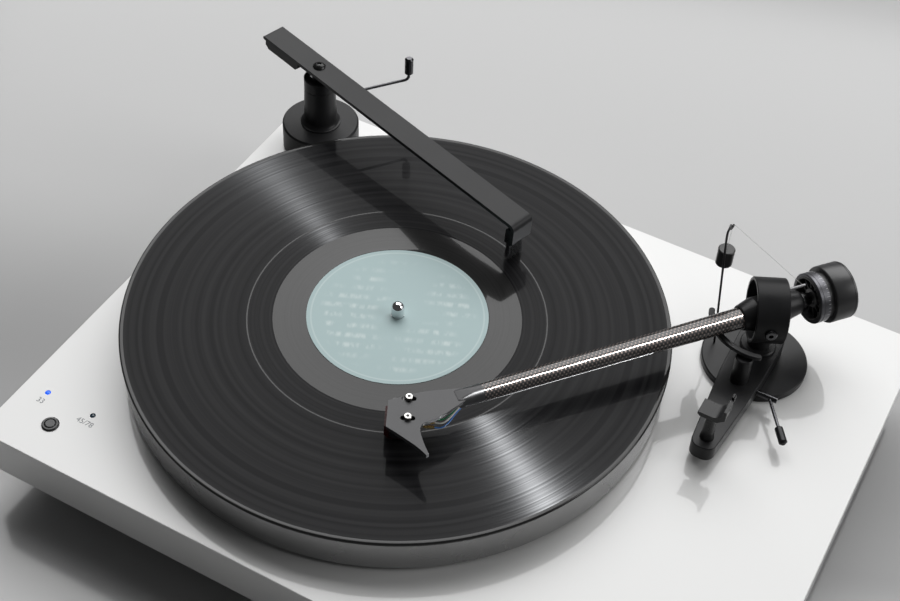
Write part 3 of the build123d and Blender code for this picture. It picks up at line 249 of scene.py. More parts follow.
def piece(name, mesh, body, node=None, materials=(), smooth=40, bevel=None):
    """Finished object from a mesh: shading, edge rounding, materials and body; the CAD node it
    stands for is hidden.
    """
    item = bpy.data.objects.new(name, mesh)
    bpy.context.collection.objects.link(item)
    for look in materials:
        mesh.materials.append(look.material)
    for face in mesh.polygons:
        face.use_smooth = True
    mesh.set_sharp_from_angle(angle=radians(smooth))
    if bevel:
        rounding = item.modifiers.new("edges", "BEVEL")
        rounding.width, rounding.segments, rounding.limit_method = bevel, 3, "ANGLE"
        rounding.harden_normals = True
    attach(item, body)
    if node:
        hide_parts(node)
    return item


def frame_of(origin, axis, side=UP):
    """Matrix whose local z runs along axis from origin, and whose x leans towards side."""
    axis = Vector(axis).normalized()
    side = Vector(side) if abs(Vector(side).normalized().dot(axis)) < 0.99 else Vector((1, 0, 0))
    x = (side - axis * side.dot(axis)).normalized()
    return Matrix.Translation(origin) @ Matrix((x, axis.cross(x), axis)).transposed().to_4x4()


def lathe(profile, matrix, steps=128, closed=False):
    """Mesh turned round the matrix's z axis from (height, radius) points, with UVs.

    A point may carry a third value: the material number of the band that starts there.
    """
    mesh = bpy.data.meshes.new("lathe")
    bm = bmesh.new()
    uv = bm.loops.layers.uv.new("UVMap")
    rings, reach = [], [0.0]
    for a, b in zip(profile, profile[1:]):
        reach.append(reach[-1] + hypot(b[0] - a[0], b[1] - a[1]))
    for height, radius, *_ in profile:
        if radius < 1e-7:
            rings.append([bm.verts.new(matrix @ Vector((0, 0, height)))] * steps)
        else:
            rings.append([bm.verts.new(matrix @ Vector((
                radius * cos(2 * pi * k / steps), radius * sin(2 * pi * k / steps), height)))
                for k in range(steps)])
    pairs = list(zip(range(len(rings)), range(1, len(rings))))
    if closed:
        pairs.append((len(rings) - 1, 0))
    for i, j in pairs:
        number = profile[i][2] if len(profile[i]) > 2 else 0
        for k in range(steps):
            n = (k + 1) % steps
            corners = [(rings[i][k], k, i), (rings[i][n], k + 1, i),
                       (rings[j][n], k + 1, j), (rings[j][k], k, j)]
            unique = []
            for corner in corners:
                if all(corner[0] is not other[0] for other in unique):
                    unique.append(corner)
            if len(unique) < 3:
                continue
            face = bm.faces.new([corner[0] for corner in unique])
            face.material_index = number
            for loop, (_, turn, ring) in zip(face.loops, unique):
                loop[uv].uv = (turn / steps, reach[ring])
    bmesh.ops.recalc_face_normals(bm, faces=bm.faces)
    bm.to_mesh(mesh)
    bm.free()
    return mesh


def plate(outline, matrix, low, high):
    """Mesh of a flat outline given in the matrix's x and y, from height low to high."""
    mesh = bpy.data.meshes.new("plate")
    bm = bmesh.new()
    lower = [bm.verts.new(matrix @ Vector((x, y, low))) for x, y in outline]
    upper = [bm.verts.new(matrix @ Vector((x, y, high))) for x, y in outline]
    bm.faces.new(lower[::-1])
    bm.faces.new(upper)
    for k in range(len(outline)):
        n = (k + 1) % len(outline)
        bm.faces.new((lower[k], lower[n], upper[n], upper[k]))
    bmesh.ops.recalc_face_normals(bm, faces=bm.faces)
    bm.to_mesh(mesh)
    bm.free()
    return mesh


def joined(*meshes):
    """One mesh from several."""
    bm = bmesh.new()
    for mesh in meshes:
        bm.from_mesh(mesh)
    result = bpy.data.meshes.new("joined")
    bm.to_mesh(result)
    bm.free()
    return result


def strand(points, radius, sides=8, taper=1.0):
    """Mesh tube along a smooth NURBS line through the neighbourhood of the points."""
    curve = bpy.data.curves.new("strand", "CURVE")
    curve.dimensions = "3D"
    curve.resolution_u = 10
    curve.bevel_depth, curve.bevel_resolution = radius, max(1, sides // 4)
    curve.use_fill_caps = True
    line = curve.splines.new("NURBS")
    line.points.add(len(points) - 1)
    for k, (target, point) in enumerate(zip(line.points, points)):
        target.co = (*point, 1)
        target.radius = 1 + (taper - 1) * k / (len(points) - 1)
    line.order_u = 3
    line.use_endpoint_u = True
    holder = bpy.data.objects.new("strand", curve)
    mesh = bpy.data.meshes.new_from_object(holder)
    bpy.data.objects.remove(holder)
    return mesh


# ---------------------------------------------------------------- stage and light
scene = bpy.context.scene
scene.view_settings.view_transform = "Standard"
scene.world = bpy.data.worlds.new("studio")
scene.world.use_nodes = True
backdrop = scene.world.node_tree.nodes["Background"]
backdrop.inputs["Color"].default_value = (0.86, 0.87, 0.88, 1)
backdrop.inputs["Strength"].default_value = 0.06

FLOOR_HALF = 12
floor_mesh = bpy.data.meshes.new("floor")
floor_mesh.from_pydata([(x * FLOOR_HALF, y * FLOOR_HALF, 0)
                        for x, y in ((-1, -1), (1, -1), (1, 1), (-1, 1))], [], [(0, 1, 2, 3)])
floor = bpy.data.objects.new("floor", floor_mesh)
bpy.context.collection.objects.link(floor)
# painted light and shade: the floor's colour is painted a shade darker beside the deck than in
# front of it and behind it.
# SHADE_DIR runs along the floor, roughly away from the camera, and the tone changes over
# SHADE_REACH either way
SHADE_DIR, SHADE_REACH = (-0.311, 0.950, 0), 0.25
PAINTED_FLOOR_SHADE = [(0.0, 0.62), (0.30, 0.62), (0.42, 0.29), (0.53, 0.255), (0.84, 0.45), (1.0, 0.46)]
paper = Look("floor_painted_shade", (0.6, 0.6, 0.6), 0.12, Specular_IOR_Level=0.4)
along = paper.add("VectorMath", operation="DOT_PRODUCT")
along.inputs[1].default_value = SHADE_DIR
paper.link(paper.place(), along.inputs[0])
shade = paper.spread(along.outputs["Value"], 0, 1, -SHADE_REACH, SHADE_REACH)
# painted light and shade: the ramp paints the floor lighter and darker along SHADE_DIR
paper.paint(paper.ramp(shade, [(place, (tone,) * 3) for place, tone in PAINTED_FLOOR_SHADE], "EASE"))
floor_mesh.materials.append(paper.material)

LIT_SPOT = Vector((-0.02, 0.0, 0.06))  # the point that every lamp faces


def lamp(name, direction, distance, size, power, color=(1, 1, 1), side=UP):
    """Soft box that faces LIT_SPOT from a direction; its width runs towards side.

    Its distance and size are in metres, and its power is in watts.
    """
    data = bpy.data.lights.new(name, "AREA")
    data.shape, data.size, data.size_y = "RECTANGLE", size[0], size[1]
    data.energy, data.color = power, color
    item = bpy.data.objects.new(name, data)
    place = LIT_SPOT + Vector(direction).normalized() * distance
    item.matrix_world = frame_of(place, direction, side)
    bpy.context.collection.objects.link(item)
    return item


lamp("soft_box", (-0.18, 0.60, 0.78), 2.2, (2.0, 2.8), 60)
streak_light = lamp("streak_light", (0.42, 0.195, 0.886), 2.4, (0.14, 0.14), 3600,
                    color=(0.95, 0.97, 1.0))
streak_light.visible_diffuse = False
tube_light = lamp("tube_light", (0.52, 0.08, 0.85), 2.0, (0.9, 0.16), 110, side=REAR_DIR)
tube_light.visible_diffuse = False
lamp("side_box", (1.0, 0.35, 0.60), 2.6, (1.4, 1.4), 19)


# ---------------------------------------------------------------- finishes of the CAD pieces
lacquer = Look("white_lacquer", (0.70, 0.70, 0.692), 0.3, Coat_Weight=1.0, Coat_Roughness=0.03)
lacquer.vary(5, 0.012, 0.03)
lacquer.bump(lacquer.noise(180, 2), 0.00003, 0.25).dress("plinth_board")

Look("hardboard", (0.03, 0.03, 0.03), 0.7).vary(30, 0.25).grain(900, 0.00008).dress("base_cover")
Look("black_screw_steel", (0.05, 0.05, 0.05), 0.35, 0.7).vary(60, 0.2).grain().dress(
    "cover_screws")
Look("foot_plastic", (0.025, 0.025, 0.026), 0.45).vary(20, 0.2).grain(1500, 0.00003).dress(
    "foot_bodies")
Look("pad_rubber", (0.03, 0.03, 0.03), 0.85).vary(40, 0.25).grain(1200, 0.00005).dress("foot_pads")

BOARD_GREEN, TRACK_GREEN = (0.02, 0.13, 0.05), (0.05, 0.3, 0.12)
laminate = Look("circuit_laminate", BOARD_GREEN, 0.35)
tracks = laminate.add("TexBrick")
for socket, value in (("Scale", 90.0), ("Mortar Size", 0.03), ("Brick Width", 0.9)):
    tracks.inputs[socket].default_value = value
laminate.link(laminate.place(), tracks.inputs["Vector"])
laminate.paint(laminate.blend(laminate.spread(tracks.outputs["Fac"], 0, 1), BOARD_GREEN,
                              TRACK_GREEN)).grain().dress("circuit_board")

lit = Look("lit_light", (0.03, 0.10, 0.6), 0.15, Emission_Color=(0.02, 0.15, 1.0, 1),
           Emission_Strength=0.7)
lit.vary(400, 0.2, 0.05).dress("speed_light_33")
Look("dark_light", (0.03, 0.06, 0.09), 0.12, Coat_Weight=0.5).vary(400, 0.3, 0.05).dress(
    "speed_light_45")

anodised = (0.022, 0.022, 0.023)
Look("bezel_black", anodised, 0.3).vary(80, 0.2).grain().dress("button_bezel")
Look("button_black", (0.03, 0.03, 0.032), 0.3).vary(80, 0.15).grain(3000).dress("speed_button")

bronze = Look("bearing_bronze", (0.55, 0.40, 0.20), 0.3, 1.0).vary(50, 0.15)
bronze.turned(SPINDLE, (0, 0, 1)).dress("bearing_housing")
Look("polished_steel", (0.86, 0.86, 0.87), 0.09, 1.0).vary(60, 0.06, 0.03).turned(
    SPINDLE, (0, 0, 1), 0.0003, 0.000003).dress("spindle")
Look("sub_platter", (0.04, 0.04, 0.045), 0.4).vary(30, 0.2).grain().dress("sub_platter")

platter = Look("platter_black", (0.38, 0.38, 0.382), 0.26, 0.95)
platter.vary(9, 0.12, 0.04)
platter.turned(SPINDLE, (0, 0, 1), 0.0005, 0.000006, 0.3).dress("platter")

Look("motor_black", (0.04, 0.04, 0.04), 0.4, 0.6).vary(40, 0.2).grain().dress("motor_body")
Look("pulley_aluminium", (0.72, 0.72, 0.73), 0.25, 1.0).vary(60, 0.08).turned(
    SPINDLE, (0, 0, 1), 0.0002, 0.000004).dress("motor_pulley")
Look("belt_rubber", (0.02, 0.02, 0.02), 0.6).vary(80, 0.3).grain(2000).dress("drive_belt")
Look("connector_plastic", (0.02, 0.02, 0.02), 0.5).vary(50, 0.2).grain(1500, 0.00004).dress(
    "connector_box", "power_socket")
Look("gold_plate", (0.83, 0.60, 0.25), 0.18, 1.0).vary(90, 0.1, 0.04).grain(1500, 0.00001).dress(
    "phono_sockets", "ground_terminal", "cartridge_pins")

satin = Look("satin_black", anodised, 0.33, Specular_IOR_Level=0.22)
satin.vary(60, 0.12, 0.05).grain(2400, 0.00002, 0.35).dress(
    "arm_base", "armrest_bar", "lift_cylinder", "lift_platform", "bearing_barrel", "broom_post",
    "broom_cap", "broom_weight")
Look("ring_black", anodised, 0.36, Specular_IOR_Level=0.12).vary(60, 0.1).grain(
    2400, 0.00002, 0.35).dress("bearing_ring")
Look("moulded_black", (0.014, 0.014, 0.015), 0.3, Specular_IOR_Level=0.3).vary(90, 0.15).grain(
    2000, 0.00002).dress("armrest_cradle", "armrest_clip", "cue_knob", "brush_holder")
Look("dark_steel", (0.10, 0.10, 0.105), 0.25, 1.0).vary(120, 0.15).grain(2600, 0.00001).dress(
    "antiskate_wire", "cue_lever", "finger_lift", "gimbal_screws")
Look("black_weight", (0.03, 0.03, 0.03), 0.35, 0.3).vary(90, 0.2).grain().dress("antiskate_weight")
Look("chrome_rod", (0.55, 0.55, 0.56), 0.15, 1.0).vary(120, 0.06, 0.03).grain(
    1500, 0.000004).dress("rear_stub", "broom_pin")
Look("thread_rod_steel", (0.20, 0.20, 0.205), 0.25, 1.0).vary(120, 0.1, 0.03).grain(
    1500, 0.000004).dress("antiskate_stub")
Look("socket_screw", (0.55, 0.54, 0.52), 0.25, 1.0).vary(200, 0.1, 0.05).grain(
    3000, 0.000005).dress("headshell_screws")
Look("base_paint", (0.018, 0.018, 0.019), 0.4, Specular_IOR_Level=0.2).vary(30, 0.15).grain(
    1500, 0.00004).dress("broom_base")
Look("bar_black", anodised, 0.38, Specular_IOR_Level=0.2).vary(25, 0.1, 0.04).grain(
    2200, 0.00002, 0.4).dress("broom_bar")
Look("button_head_screw", (0.02, 0.02, 0.02), 0.25, 0.3).vary(200, 0.2).grain(
    3000, 0.000006).dress("bar_screw")
Look("cartridge_black", (0.012, 0.012, 0.013), 0.22, Coat_Weight=0.3).vary(150, 0.2).grain(
    2500, 0.00001).dress("cartridge_body")
Look("stylus_red", (0.05, 0.004, 0.005), 0.25, Coat_Weight=0.3).vary(150, 0.2, 0.04).grain(
    2500, 0.000008).dress("stylus_unit")

# ---------------------------------------------------------------- record
LABEL_R, DEAD_R, GROOVE_R, RECORD_R = 50.0 * MM, 68.3 * MM, 148.4 * MM, 150.8 * MM
label_origin = (SPINDLE.x, SPINDLE.y, 0)


def distance_out(look):
    """Distance from the spindle, for patterns that follow the record."""
    where = look.add("SeparateXYZ")
    look.link(look.place(origin=label_origin), where.inputs[0])
    x, y = where.outputs["X"], where.outputs["Y"]
    return look.math("SQRT", look.math("ADD", look.math("MULTIPLY", x, x),
                                       look.math("MULTIPLY", y, y)))


def ring_noise(look, radius, scale, detail=3.0):
    """Uneven bands that depend on the radius alone."""
    node = look.add("TexNoise", noise_dimensions="1D")
    node.inputs["Scale"].default_value = scale
    node.inputs["Detail"].default_value = detail
    look.link(radius, node.inputs["W"])
    return node.outputs["Fac"]


def vinyl(name, rough, anisotropic, coat, level):
    """Black vinyl whose highlights stretch across its rings."""
    look = Look(name, (0.010, 0.010, 0.010), rough, IOR=1.55, Anisotropic=anisotropic,
                Anisotropic_Rotation=0.25, Specular_IOR_Level=level, Coat_Weight=coat,
                Coat_Roughness=0.035)
    tangent = look.add("Tangent", direction_type="RADIAL", axis="Z")
    look.link(tangent.outputs[0], look.shader.inputs["Tangent"])
    return look


grooved = vinyl("grooved_vinyl", 0.2, 1.0, 0.07, 0.03)
radius = distance_out(grooved)
bands = ring_noise(grooved, radius, 900.0, 6.0)
grooved.link(grooved.spread(bands, 0.19, 0.25, 0.3, 0.7), grooved.shader.inputs["Roughness"])
tones = grooved.spread(ring_noise(grooved, radius, 260.0, 5.0), 0, 1, 0.35, 0.65)
grooved.paint(grooved.blend(tones, (0.008, 0.008, 0.009), (0.020, 0.020, 0.021)))
grooved.bump(ring_noise(grooved, radius, 5200.0, 2.0), 0.00001, 0.25)
smooth_vinyl = vinyl("smooth_vinyl", 0.14, 0.3, 0.4, 0.12)
radius = distance_out(smooth_vinyl)
smooth_vinyl.bump(ring_noise(smooth_vinyl, radius, 2500.0, 2.0), 0.000004, 0.3)
smooth_vinyl.paint(smooth_vinyl.blend(ring_noise(smooth_vinyl, radius, 900.0),
                                      (0.014, 0.014, 0.014), (0.026, 0.026, 0.026)))

HOLE_R, EDGE_R, HALF_THICK = 3.75 * MM, 0.9 * MM, 1.0 * MM
GROOVE_Z, LABEL_Z = -0.2 * MM, -0.16 * MM
TRACK_R = 82.2 * MM  # the smooth ring between the two bands of grooves
section = [(-2 * HALF_THICK, HOLE_R), (-2 * HALF_THICK, RECORD_R - EDGE_R)]
for k in range(1, 8):
    bend = pi / 8 * k
    section.append((-HALF_THICK - HALF_THICK * cos(bend), RECORD_R - EDGE_R + EDGE_R * sin(bend)))
section += [(0.0, RECORD_R - EDGE_R), (0.0, GROOVE_R + 0.6 * MM), (GROOVE_Z, GROOVE_R),
            (GROOVE_Z, LABEL_R + 2.2 * MM), (-0.02 * MM, LABEL_R + 0.6 * MM),
            (0.0, LABEL_R + 0.35 * MM), (LABEL_Z, LABEL_R), (LABEL_Z, HOLE_R)]
record_frame = Matrix.Translation((SPINDLE.x, SPINDLE.y, RECORD_TOP))
piece("record_disc", lathe(section, record_frame, 256, closed=True), "turntable",
      "record", (smooth_vinyl,), smooth=25)
# the grooves lie a hair above the disc's own face, in two bands
groove_bands = [(GROOVE_R, TRACK_R + 0.35 * MM), (TRACK_R - 0.35 * MM, DEAD_R)]
groove_top = GROOVE_Z + 0.02 * MM
grooves = joined(*[lathe([(groove_top, outer), (groove_top, inner)], record_frame, 256)
                   for outer, inner in groove_bands])
record_grooves = piece("record_grooves", grooves, "turntable", "record", (grooved,),
                       smooth=25)

paper_label = Look("label_paper", (0.38, 0.55, 0.57), 0.45, Specular_IOR_Level=0.4)
radius = distance_out(paper_label)
# faint blurred rows of marks that spell nothing
ROW_PITCH, ROW_TURN = 0.0072, radians(-24)
rows_of_print = paper_label.add("Mapping")
rows_of_print.inputs["Rotation"].default_value = (0, 0, ROW_TURN)
paper_label.link(paper_label.place(origin=label_origin), rows_of_print.inputs["Vector"])
split = paper_label.add("SeparateXYZ")
paper_label.link(rows_of_print.outputs["Vector"], split.inputs[0])
row = paper_label.math("FRACT", paper_label.math("DIVIDE", split.outputs["Y"], ROW_PITCH))
row = paper_label.math("ABSOLUTE", paper_label.math("SUBTRACT", row, 0.5))
row = paper_label.spread(row, 1, 0, 0.08, 0.34)
words = paper_label.add("CombineXYZ")
paper_label.link(paper_label.math("MULTIPLY", split.outputs["X"], 190.0), words.inputs[0])
paper_label.link(paper_label.math("MULTIPLY", split.outputs["Y"], 60.0), words.inputs[1])
letters = paper_label.spread(paper_label.noise(1.0, 3.0, 0.6, words.outputs[0]), 0, 1, 0.44, 0.60)
patch = paper_label.spread(paper_label.noise(30.0, 1.0), 0, 1, 0.42, 0.56)
marks = paper_label.math("MULTIPLY", paper_label.math("MULTIPLY", row, letters), patch)
inside = paper_label.spread(radius, 1, 0, 0.040, 0.044)
outside = paper_label.spread(radius, 0, 0.62, 0.011, 0.015)
marks = paper_label.math("MULTIPLY", paper_label.math("MULTIPLY", marks, inside), outside)
rim = paper_label.math("COMPARE", radius, 0.0475, 0.00045)
marks = paper_label.math("MAXIMUM", marks, paper_label.math("MULTIPLY", rim, 0.35))
paper_label.paint(paper_label.blend(marks, (0.37, 0.49, 0.495), (0.62, 0.70, 0.69)))
paper_label.grain(1800, 0.00002, 0.3).dress("record_label")


# ---------------------------------------------------------------- tonearm tube and headshell
TUBE_BACK, TUBE_FRONT = 17.6, 182.0  # ends of the tube's taper, in mm from the pivot
TUBE_BACK_R, TUBE_FRONT_R = 5.88, 4.85
TUBE_SAG = 1.2 * MM  # the tube's front end lies this far below its back end
FLAT_START = 168.0  # the tube's top is planed down under the headshell from here on
FLAT_HIGH, FLAT_LOW = 5.0, 1.8
WEAVE_CELLS, WEAVE_PITCH = 22, 1.15


def tube_point(reach, side, height):
    """Point of the tonearm from its distance along the tube, to the left and up."""
    return RING_CENTRE + ARM_DIR * reach + UP.cross(ARM_DIR) * side + UP * height


def shell_point(x, y, height):
    """Point of the headshell from its distance ahead, to the left and up."""
    return SHELL + SHELL_DIR * x + SHELL_LEFT * y + UP * height


def tube_radius(reach):
    share = (reach - TUBE_BACK) / (TUBE_FRONT - TUBE_BACK)
    return (TUBE_BACK_R + (TUBE_FRONT_R - TUBE_BACK_R) * max(0.0, min(1.0, share))) * MM


def carbon_tube():
    """Tapered tube with a cloth grid in its UVs: u across the tows, v along them."""
    mesh = bpy.data.meshes.new("carbon_tube")
    bm = bmesh.new()
    uv = bm.loops.layers.uv.new("UVMap")
    steps, rows = 64, []
    reaches = [9.5, TUBE_BACK] + [TUBE_BACK + 2.0 * k for k in range(1, 76)]
    reaches += [FLAT_START, 170.5, 173.0, 175.5, 178.0, 180.0, 181.9]
    for reach in reaches:
        r = tube_radius(reach)
        if reach == reaches[-1]:
            r *= 0.93
        sag = TUBE_SAG * max(0.0, reach - TUBE_BACK) / (TUBE_FRONT - TUBE_BACK)
        top = (FLAT_HIGH + (FLAT_LOW - FLAT_HIGH) * (reach - FLAT_START) / 15.0) * MM
        row = []
        for k in range(steps):
            turn = 2 * pi * k / steps
            side, height = r * sin(turn), r * cos(turn) - sag
            if reach > FLAT_START:
                height = min(height, top)
            row.append(bm.verts.new(tube_point(reach * MM, side, height)))
        rows.append(row)
    for i in range(len(rows) - 1):
        for k in range(steps):
            n = (k + 1) % steps
            face = bm.faces.new((rows[i][k], rows[i][n], rows[i + 1][n], rows[i + 1][k]))
            for loop, (a, b) in zip(face.loops, ((k, i), (k + 1, i), (k + 1, i + 1), (k, i + 1))):
                loop[uv].uv = (a / steps * WEAVE_CELLS, reaches[b] / WEAVE_PITCH)
            if reaches[i] >= FLAT_START:
                face.material_index = 1
    bm.faces.new(rows[0])
    bm.faces.new(rows[-1])
    bmesh.ops.recalc_face_normals(bm, faces=bm.faces)
    bm.to_mesh(mesh)
    bm.free()
    return mesh


carbon = Look("carbon_weave", (0.02, 0.02, 0.02), 0.28, Coat_Weight=1.0, Coat_Roughness=0.05,
              Specular_IOR_Level=0.2)
cells = carbon.add("SeparateXYZ")
carbon.link(carbon.place(uv=True), cells.inputs[0])
across_tow = carbon.math("FLOOR", cells.outputs["X"])
along_tow = carbon.math("FLOOR", cells.outputs["Y"])
# plain weave: every other cell shows the tow that runs round the tube
step = carbon.math("FLOORED_MODULO", carbon.math("ADD", across_tow, along_tow), 2.0)
over = carbon.math("LESS_THAN", step, 0.5)
from_middle = [
    carbon.math("ABSOLUTE", carbon.math("SUBTRACT", carbon.math("FRACT", cells.outputs[side]), 0.5))
    for side in ("X", "Y")]
inside_cell = carbon.spread(carbon.math("MAXIMUM", *from_middle), 1, 0, 0.26, 0.42)
bright = carbon.math("MULTIPLY", over, inside_cell)
tint = carbon.noise(420.0, 2.0)
carbon.paint(carbon.blend(bright, (0.006, 0.006, 0.006),
                          carbon.blend(tint, (0.22, 0.17, 0.15), (0.11, 0.09, 0.085))))
carbon.link(carbon.spread(bright, 0.0, 0.5), carbon.shader.inputs["Metallic"])
carbon.link(carbon.spread(bright, 0.55, 0.42), carbon.shader.inputs["Roughness"])
carbon.bump(bright, 0.00004, 0.4)

shell_satin = Look("headshell_satin", (0.045, 0.045, 0.047), 0.34, 0.3, Specular_IOR_Level=0.45)
shell_satin.vary(120, 0.1, 0.05).grain(2600, 0.00001, 0.4)
# painted shade for the sockets of the headshell screws
socket_painted_shade = Look("socket_painted_shade", (0.01, 0.01, 0.01), 0.5).vary(100, 0.2)


def spline(points, steps=10):
    """Smooth line through points (Catmull-Rom), without its last point."""
    full = [points[0]] + list(points) + [points[-1]]
    line = []
    for a, b, c, d in zip(full, full[1:], full[2:], full[3:]):
        for k in range(steps):
            t = k / steps
            line.append(tuple(
                0.5 * (2 * q + (r - p) * t + (2 * p - 5 * q + 4 * r - s) * t * t
                       + (3 * q - p - 3 * r + s) * t ** 3)
                for p, q, r, s in zip(a, b, c, d)))
    return line


# edges of the headshell plate in mm, from the middle of its screws: ahead and to the left
INNER_EDGE = [(10.4, -4.6), (3.4, -7.4), (-4.2, -10.4), (-10.0, -12.1), (-18.6, -13.7),
              (-27.0, -15.4)]
OUTER_EDGE = [(-28.4, -7.0), (-21.5, -0.6), (-17.4, 3.2), (-11.0, 7.4), (-7.8, 9.4), (-6.6, 13.0),
              (-8.4, 20.4), (-11.6, 28.2)]
FRONT_EDGE = [(-10.4, 28.9), (-5.0, 23.6), (4.9, 16.2), (10.6, 12.3)]
SCREW_PLACES = [(0, -6.35), (0, 6.35)]


def cut(mesh, *cutters):
    """mesh with the cutters taken out of it."""
    item = bpy.data.objects.new("cut", mesh)
    bpy.context.collection.objects.link(item)
    tools = []
    for cutter in cutters:
        tool = bpy.data.objects.new("cutter", cutter)
        bpy.context.collection.objects.link(tool)
        modifier = item.modifiers.new("cut", "BOOLEAN")
        modifier.object, modifier.operation, modifier.solver = tool, "DIFFERENCE", "EXACT"
        tools.append(tool)
    evaluated = item.evaluated_get(bpy.context.evaluated_depsgraph_get())
    result = bpy.data.meshes.new_from_object(evaluated)
    for thing in [item] + tools:
        bpy.data.objects.remove(thing)
    return result


def slot_outline(x, y, length, width, steps=10):
    """Outline in metres of a slot with round ends, given in millimetres."""
    reach = (length - width) / 2
    points = []
    for start, dx in ((-90, reach), (90, -reach)):
        for k in range(steps + 1):
            turn = radians(start + 180 * k / steps)
            points.append((x + dx + width / 2 * cos(turn), y + width / 2 * sin(turn)))
    return metres(points)


SHELL_FRAME = Matrix.Translation(SHELL) @ Matrix((SHELL_DIR, SHELL_LEFT, UP)).transposed().to_4x4()
PLATE_LOW, PLATE_HIGH = -0.4 * MM, 1.8 * MM
SCREW_SLOTS = ((7.6, 2.9), (4.4, 4.39))
edge_line = (spline(INNER_EDGE) + [INNER_EDGE[-1], (-31.5, -13.0)] + spline(OUTER_EDGE)
             + [OUTER_EDGE[-1]] + spline(FRONT_EDGE) + [FRONT_EDGE[-1]])
shell_plate = plate(metres(edge_line), SHELL_FRAME, PLATE_LOW, PLATE_HIGH)
shell_plate = cut(shell_plate, *[
    plate(slot_outline(x, y, length, width), SHELL_FRAME, -3 * MM, 4 * MM)
    for x, y in SCREW_PLACES for length, width in SCREW_SLOTS])
piece("headshell_plate", shell_plate, "arm_wand", "arm_tube", (shell_satin,),
      smooth=30, bevel=0.45 * MM)
tube_piece = piece("carbon_tube", carbon_tube(), "arm_wand", "arm_tube",
                   (carbon, shell_satin), smooth=35)

HEXAGON_R = 0.93 * MM
hexagon = [(HEXAGON_R * cos(radians(60 * k)), HEXAGON_R * sin(radians(60 * k))) for k in range(6)]
# painted shade: dark hexagons on the screw heads stand in for the shade inside their sockets
sockets = [plate([(x * MM + a, y * MM + b) for a, b in hexagon], SHELL_FRAME, 2.7 * MM, 3.74 * MM)
           for x, y in SCREW_PLACES]
piece("screw_sockets", joined(*sockets), "arm_wand", None, (socket_painted_shade,), smooth=20)

# two lamps shine on one piece each, for the streaks across the grooves and the line along the tube
for light, target in ((streak_light, record_grooves), (tube_light, tube_piece)):
    receivers = bpy.data.collections.new("lit_by_" + light.name)
    receivers.objects.link(target)
    light.light_linking.receiver_collection = receivers

# ---------------------------------------------------------------- leads at the cartridge
PIN_PLACES = {"lead_red": (-2.7, -5.2), "lead_white": (2.7, -5.2),
              "lead_green": (-2.7, -9.0), "lead_blue": (2.7, -9.0)}
LEAD_MOUTH = {"lead_red": (-0.7, 0.7), "lead_white": (0.7, 0.7),
              "lead_green": (-0.7, -0.7), "lead_blue": (0.7, -0.7)}
LEAD_COLOURS = {"lead_red": (0.62, 0.03, 0.025), "lead_white": (0.85, 0.84, 0.80),
                "lead_green": (0.03, 0.36, 0.14), "lead_blue": (0.07, 0.26, 0.75)}
CLIP_END = -13.6
CLIP_BARREL = [(0.0, 0.62), (0.0, 0.95), (0.5, 0.95), (0.6, 0.86), (1.9, 0.86), (2.0, 0.95),
               (3.6, 0.95), (3.9, 0.8), (4.6, 0.72), (4.6, 0.33), (2.6, 0.3), (2.6, 0.62)]
for name, (y, height) in PIN_PLACES.items():
    mouth_side, mouth_up = LEAD_MOUTH[name]
    route = [(CLIP_END, y, height), (CLIP_END - 3.2, y + 0.6, height - 0.4),
             (CLIP_END - 7.2, y * 0.8 - 1.2, height * 0.75),
             (CLIP_END - 10.6, y * 0.45 - 5.4, height * 0.45 - 0.6)]
    points = [shell_point(a * MM, b * MM, c * MM) for a, b, c in route]
    for reach, side, up in ((176.5, 0.9 + mouth_side, -2.6 + mouth_up),
                            (169.5, 0.2 + 0.9 * mouth_side, -2.1 + 0.9 * mouth_up),
                            (163.2, 0.8 * mouth_side, -2.2 + 0.8 * mouth_up)):
        points.append(tube_point(reach * MM, side * MM, up * MM))
    sheath = Look(name + "_sheath", LEAD_COLOURS[name], 0.35, Coat_Weight=0.3)
    sheath.vary(400, 0.15, 0.05).grain(3000, 0.000005)
    clip_frame = frame_of(shell_point(-9.0 * MM, y * MM, height * MM), -SHELL_DIR)
    clip = lathe(metres(CLIP_BARREL), clip_frame, 24, closed=True)
    piece(name + "_wire", strand(points, 0.40 * MM), "arm_wand", name, (sheath,), smooth=60)
    gilt = Look(name + "_gilt", (0.80, 0.58, 0.25), 0.22, 1.0).vary(300, 0.1).grain(3000, 0.000004)
    piece(name + "_clip", clip, "arm_wand", name, (gilt,), smooth=35)

# ---------------------------------------------------------------- counterweight and dial
rear_frame = frame_of(RING_CENTRE, REAR_DIR)
weight_profile = [
    (27.2, 3.52), (27.2, 5.2), (27.4, 5.4), (30.0, 5.4), (30.0, 11.2), (25.2, 11.4), (25.0, 11.6),
    (25.0, 12.5), (25.2, 12.7), (31.6, 12.7), (31.6, 13.4), (34.0, 13.4), (34.0, 15.4),
    (34.25, 15.8), (34.6, 16.0), (45.2, 16.0), (45.3, 15.85), (45.5, 15.85), (45.6, 16.0),
    (46.4, 16.0), (46.9, 15.8), (47.2, 15.3), (47.2, 13.2), (47.0, 13.1), (47.0, 12.9),
    (47.2, 12.8), (47.2, 0.0), (46.0, 0.0), (46.0, 3.52)]
black_weight = Look("weight_black", (0.035, 0.035, 0.036), 0.36, Specular_IOR_Level=0.6)
black_weight.vary(60, 0.12, 0.05).turned(RING_CENTRE, REAR_DIR, 0.00025, 0.000004, 0.3)
weight_body = lathe(metres(weight_profile), rear_frame, 160, closed=True)
RIBS = 12
ribs = [plate(strip(5.3, 11.4, 0.3), rear_frame @ Matrix.Rotation(2 * pi * k / RIBS, 4, "Z"),
              27.9 * MM, 30.2 * MM) for k in range(RIBS)]
piece("weight_body", joined(weight_body, *ribs), "arm_counterweight",
      "counterweight", (black_weight,), smooth=30)

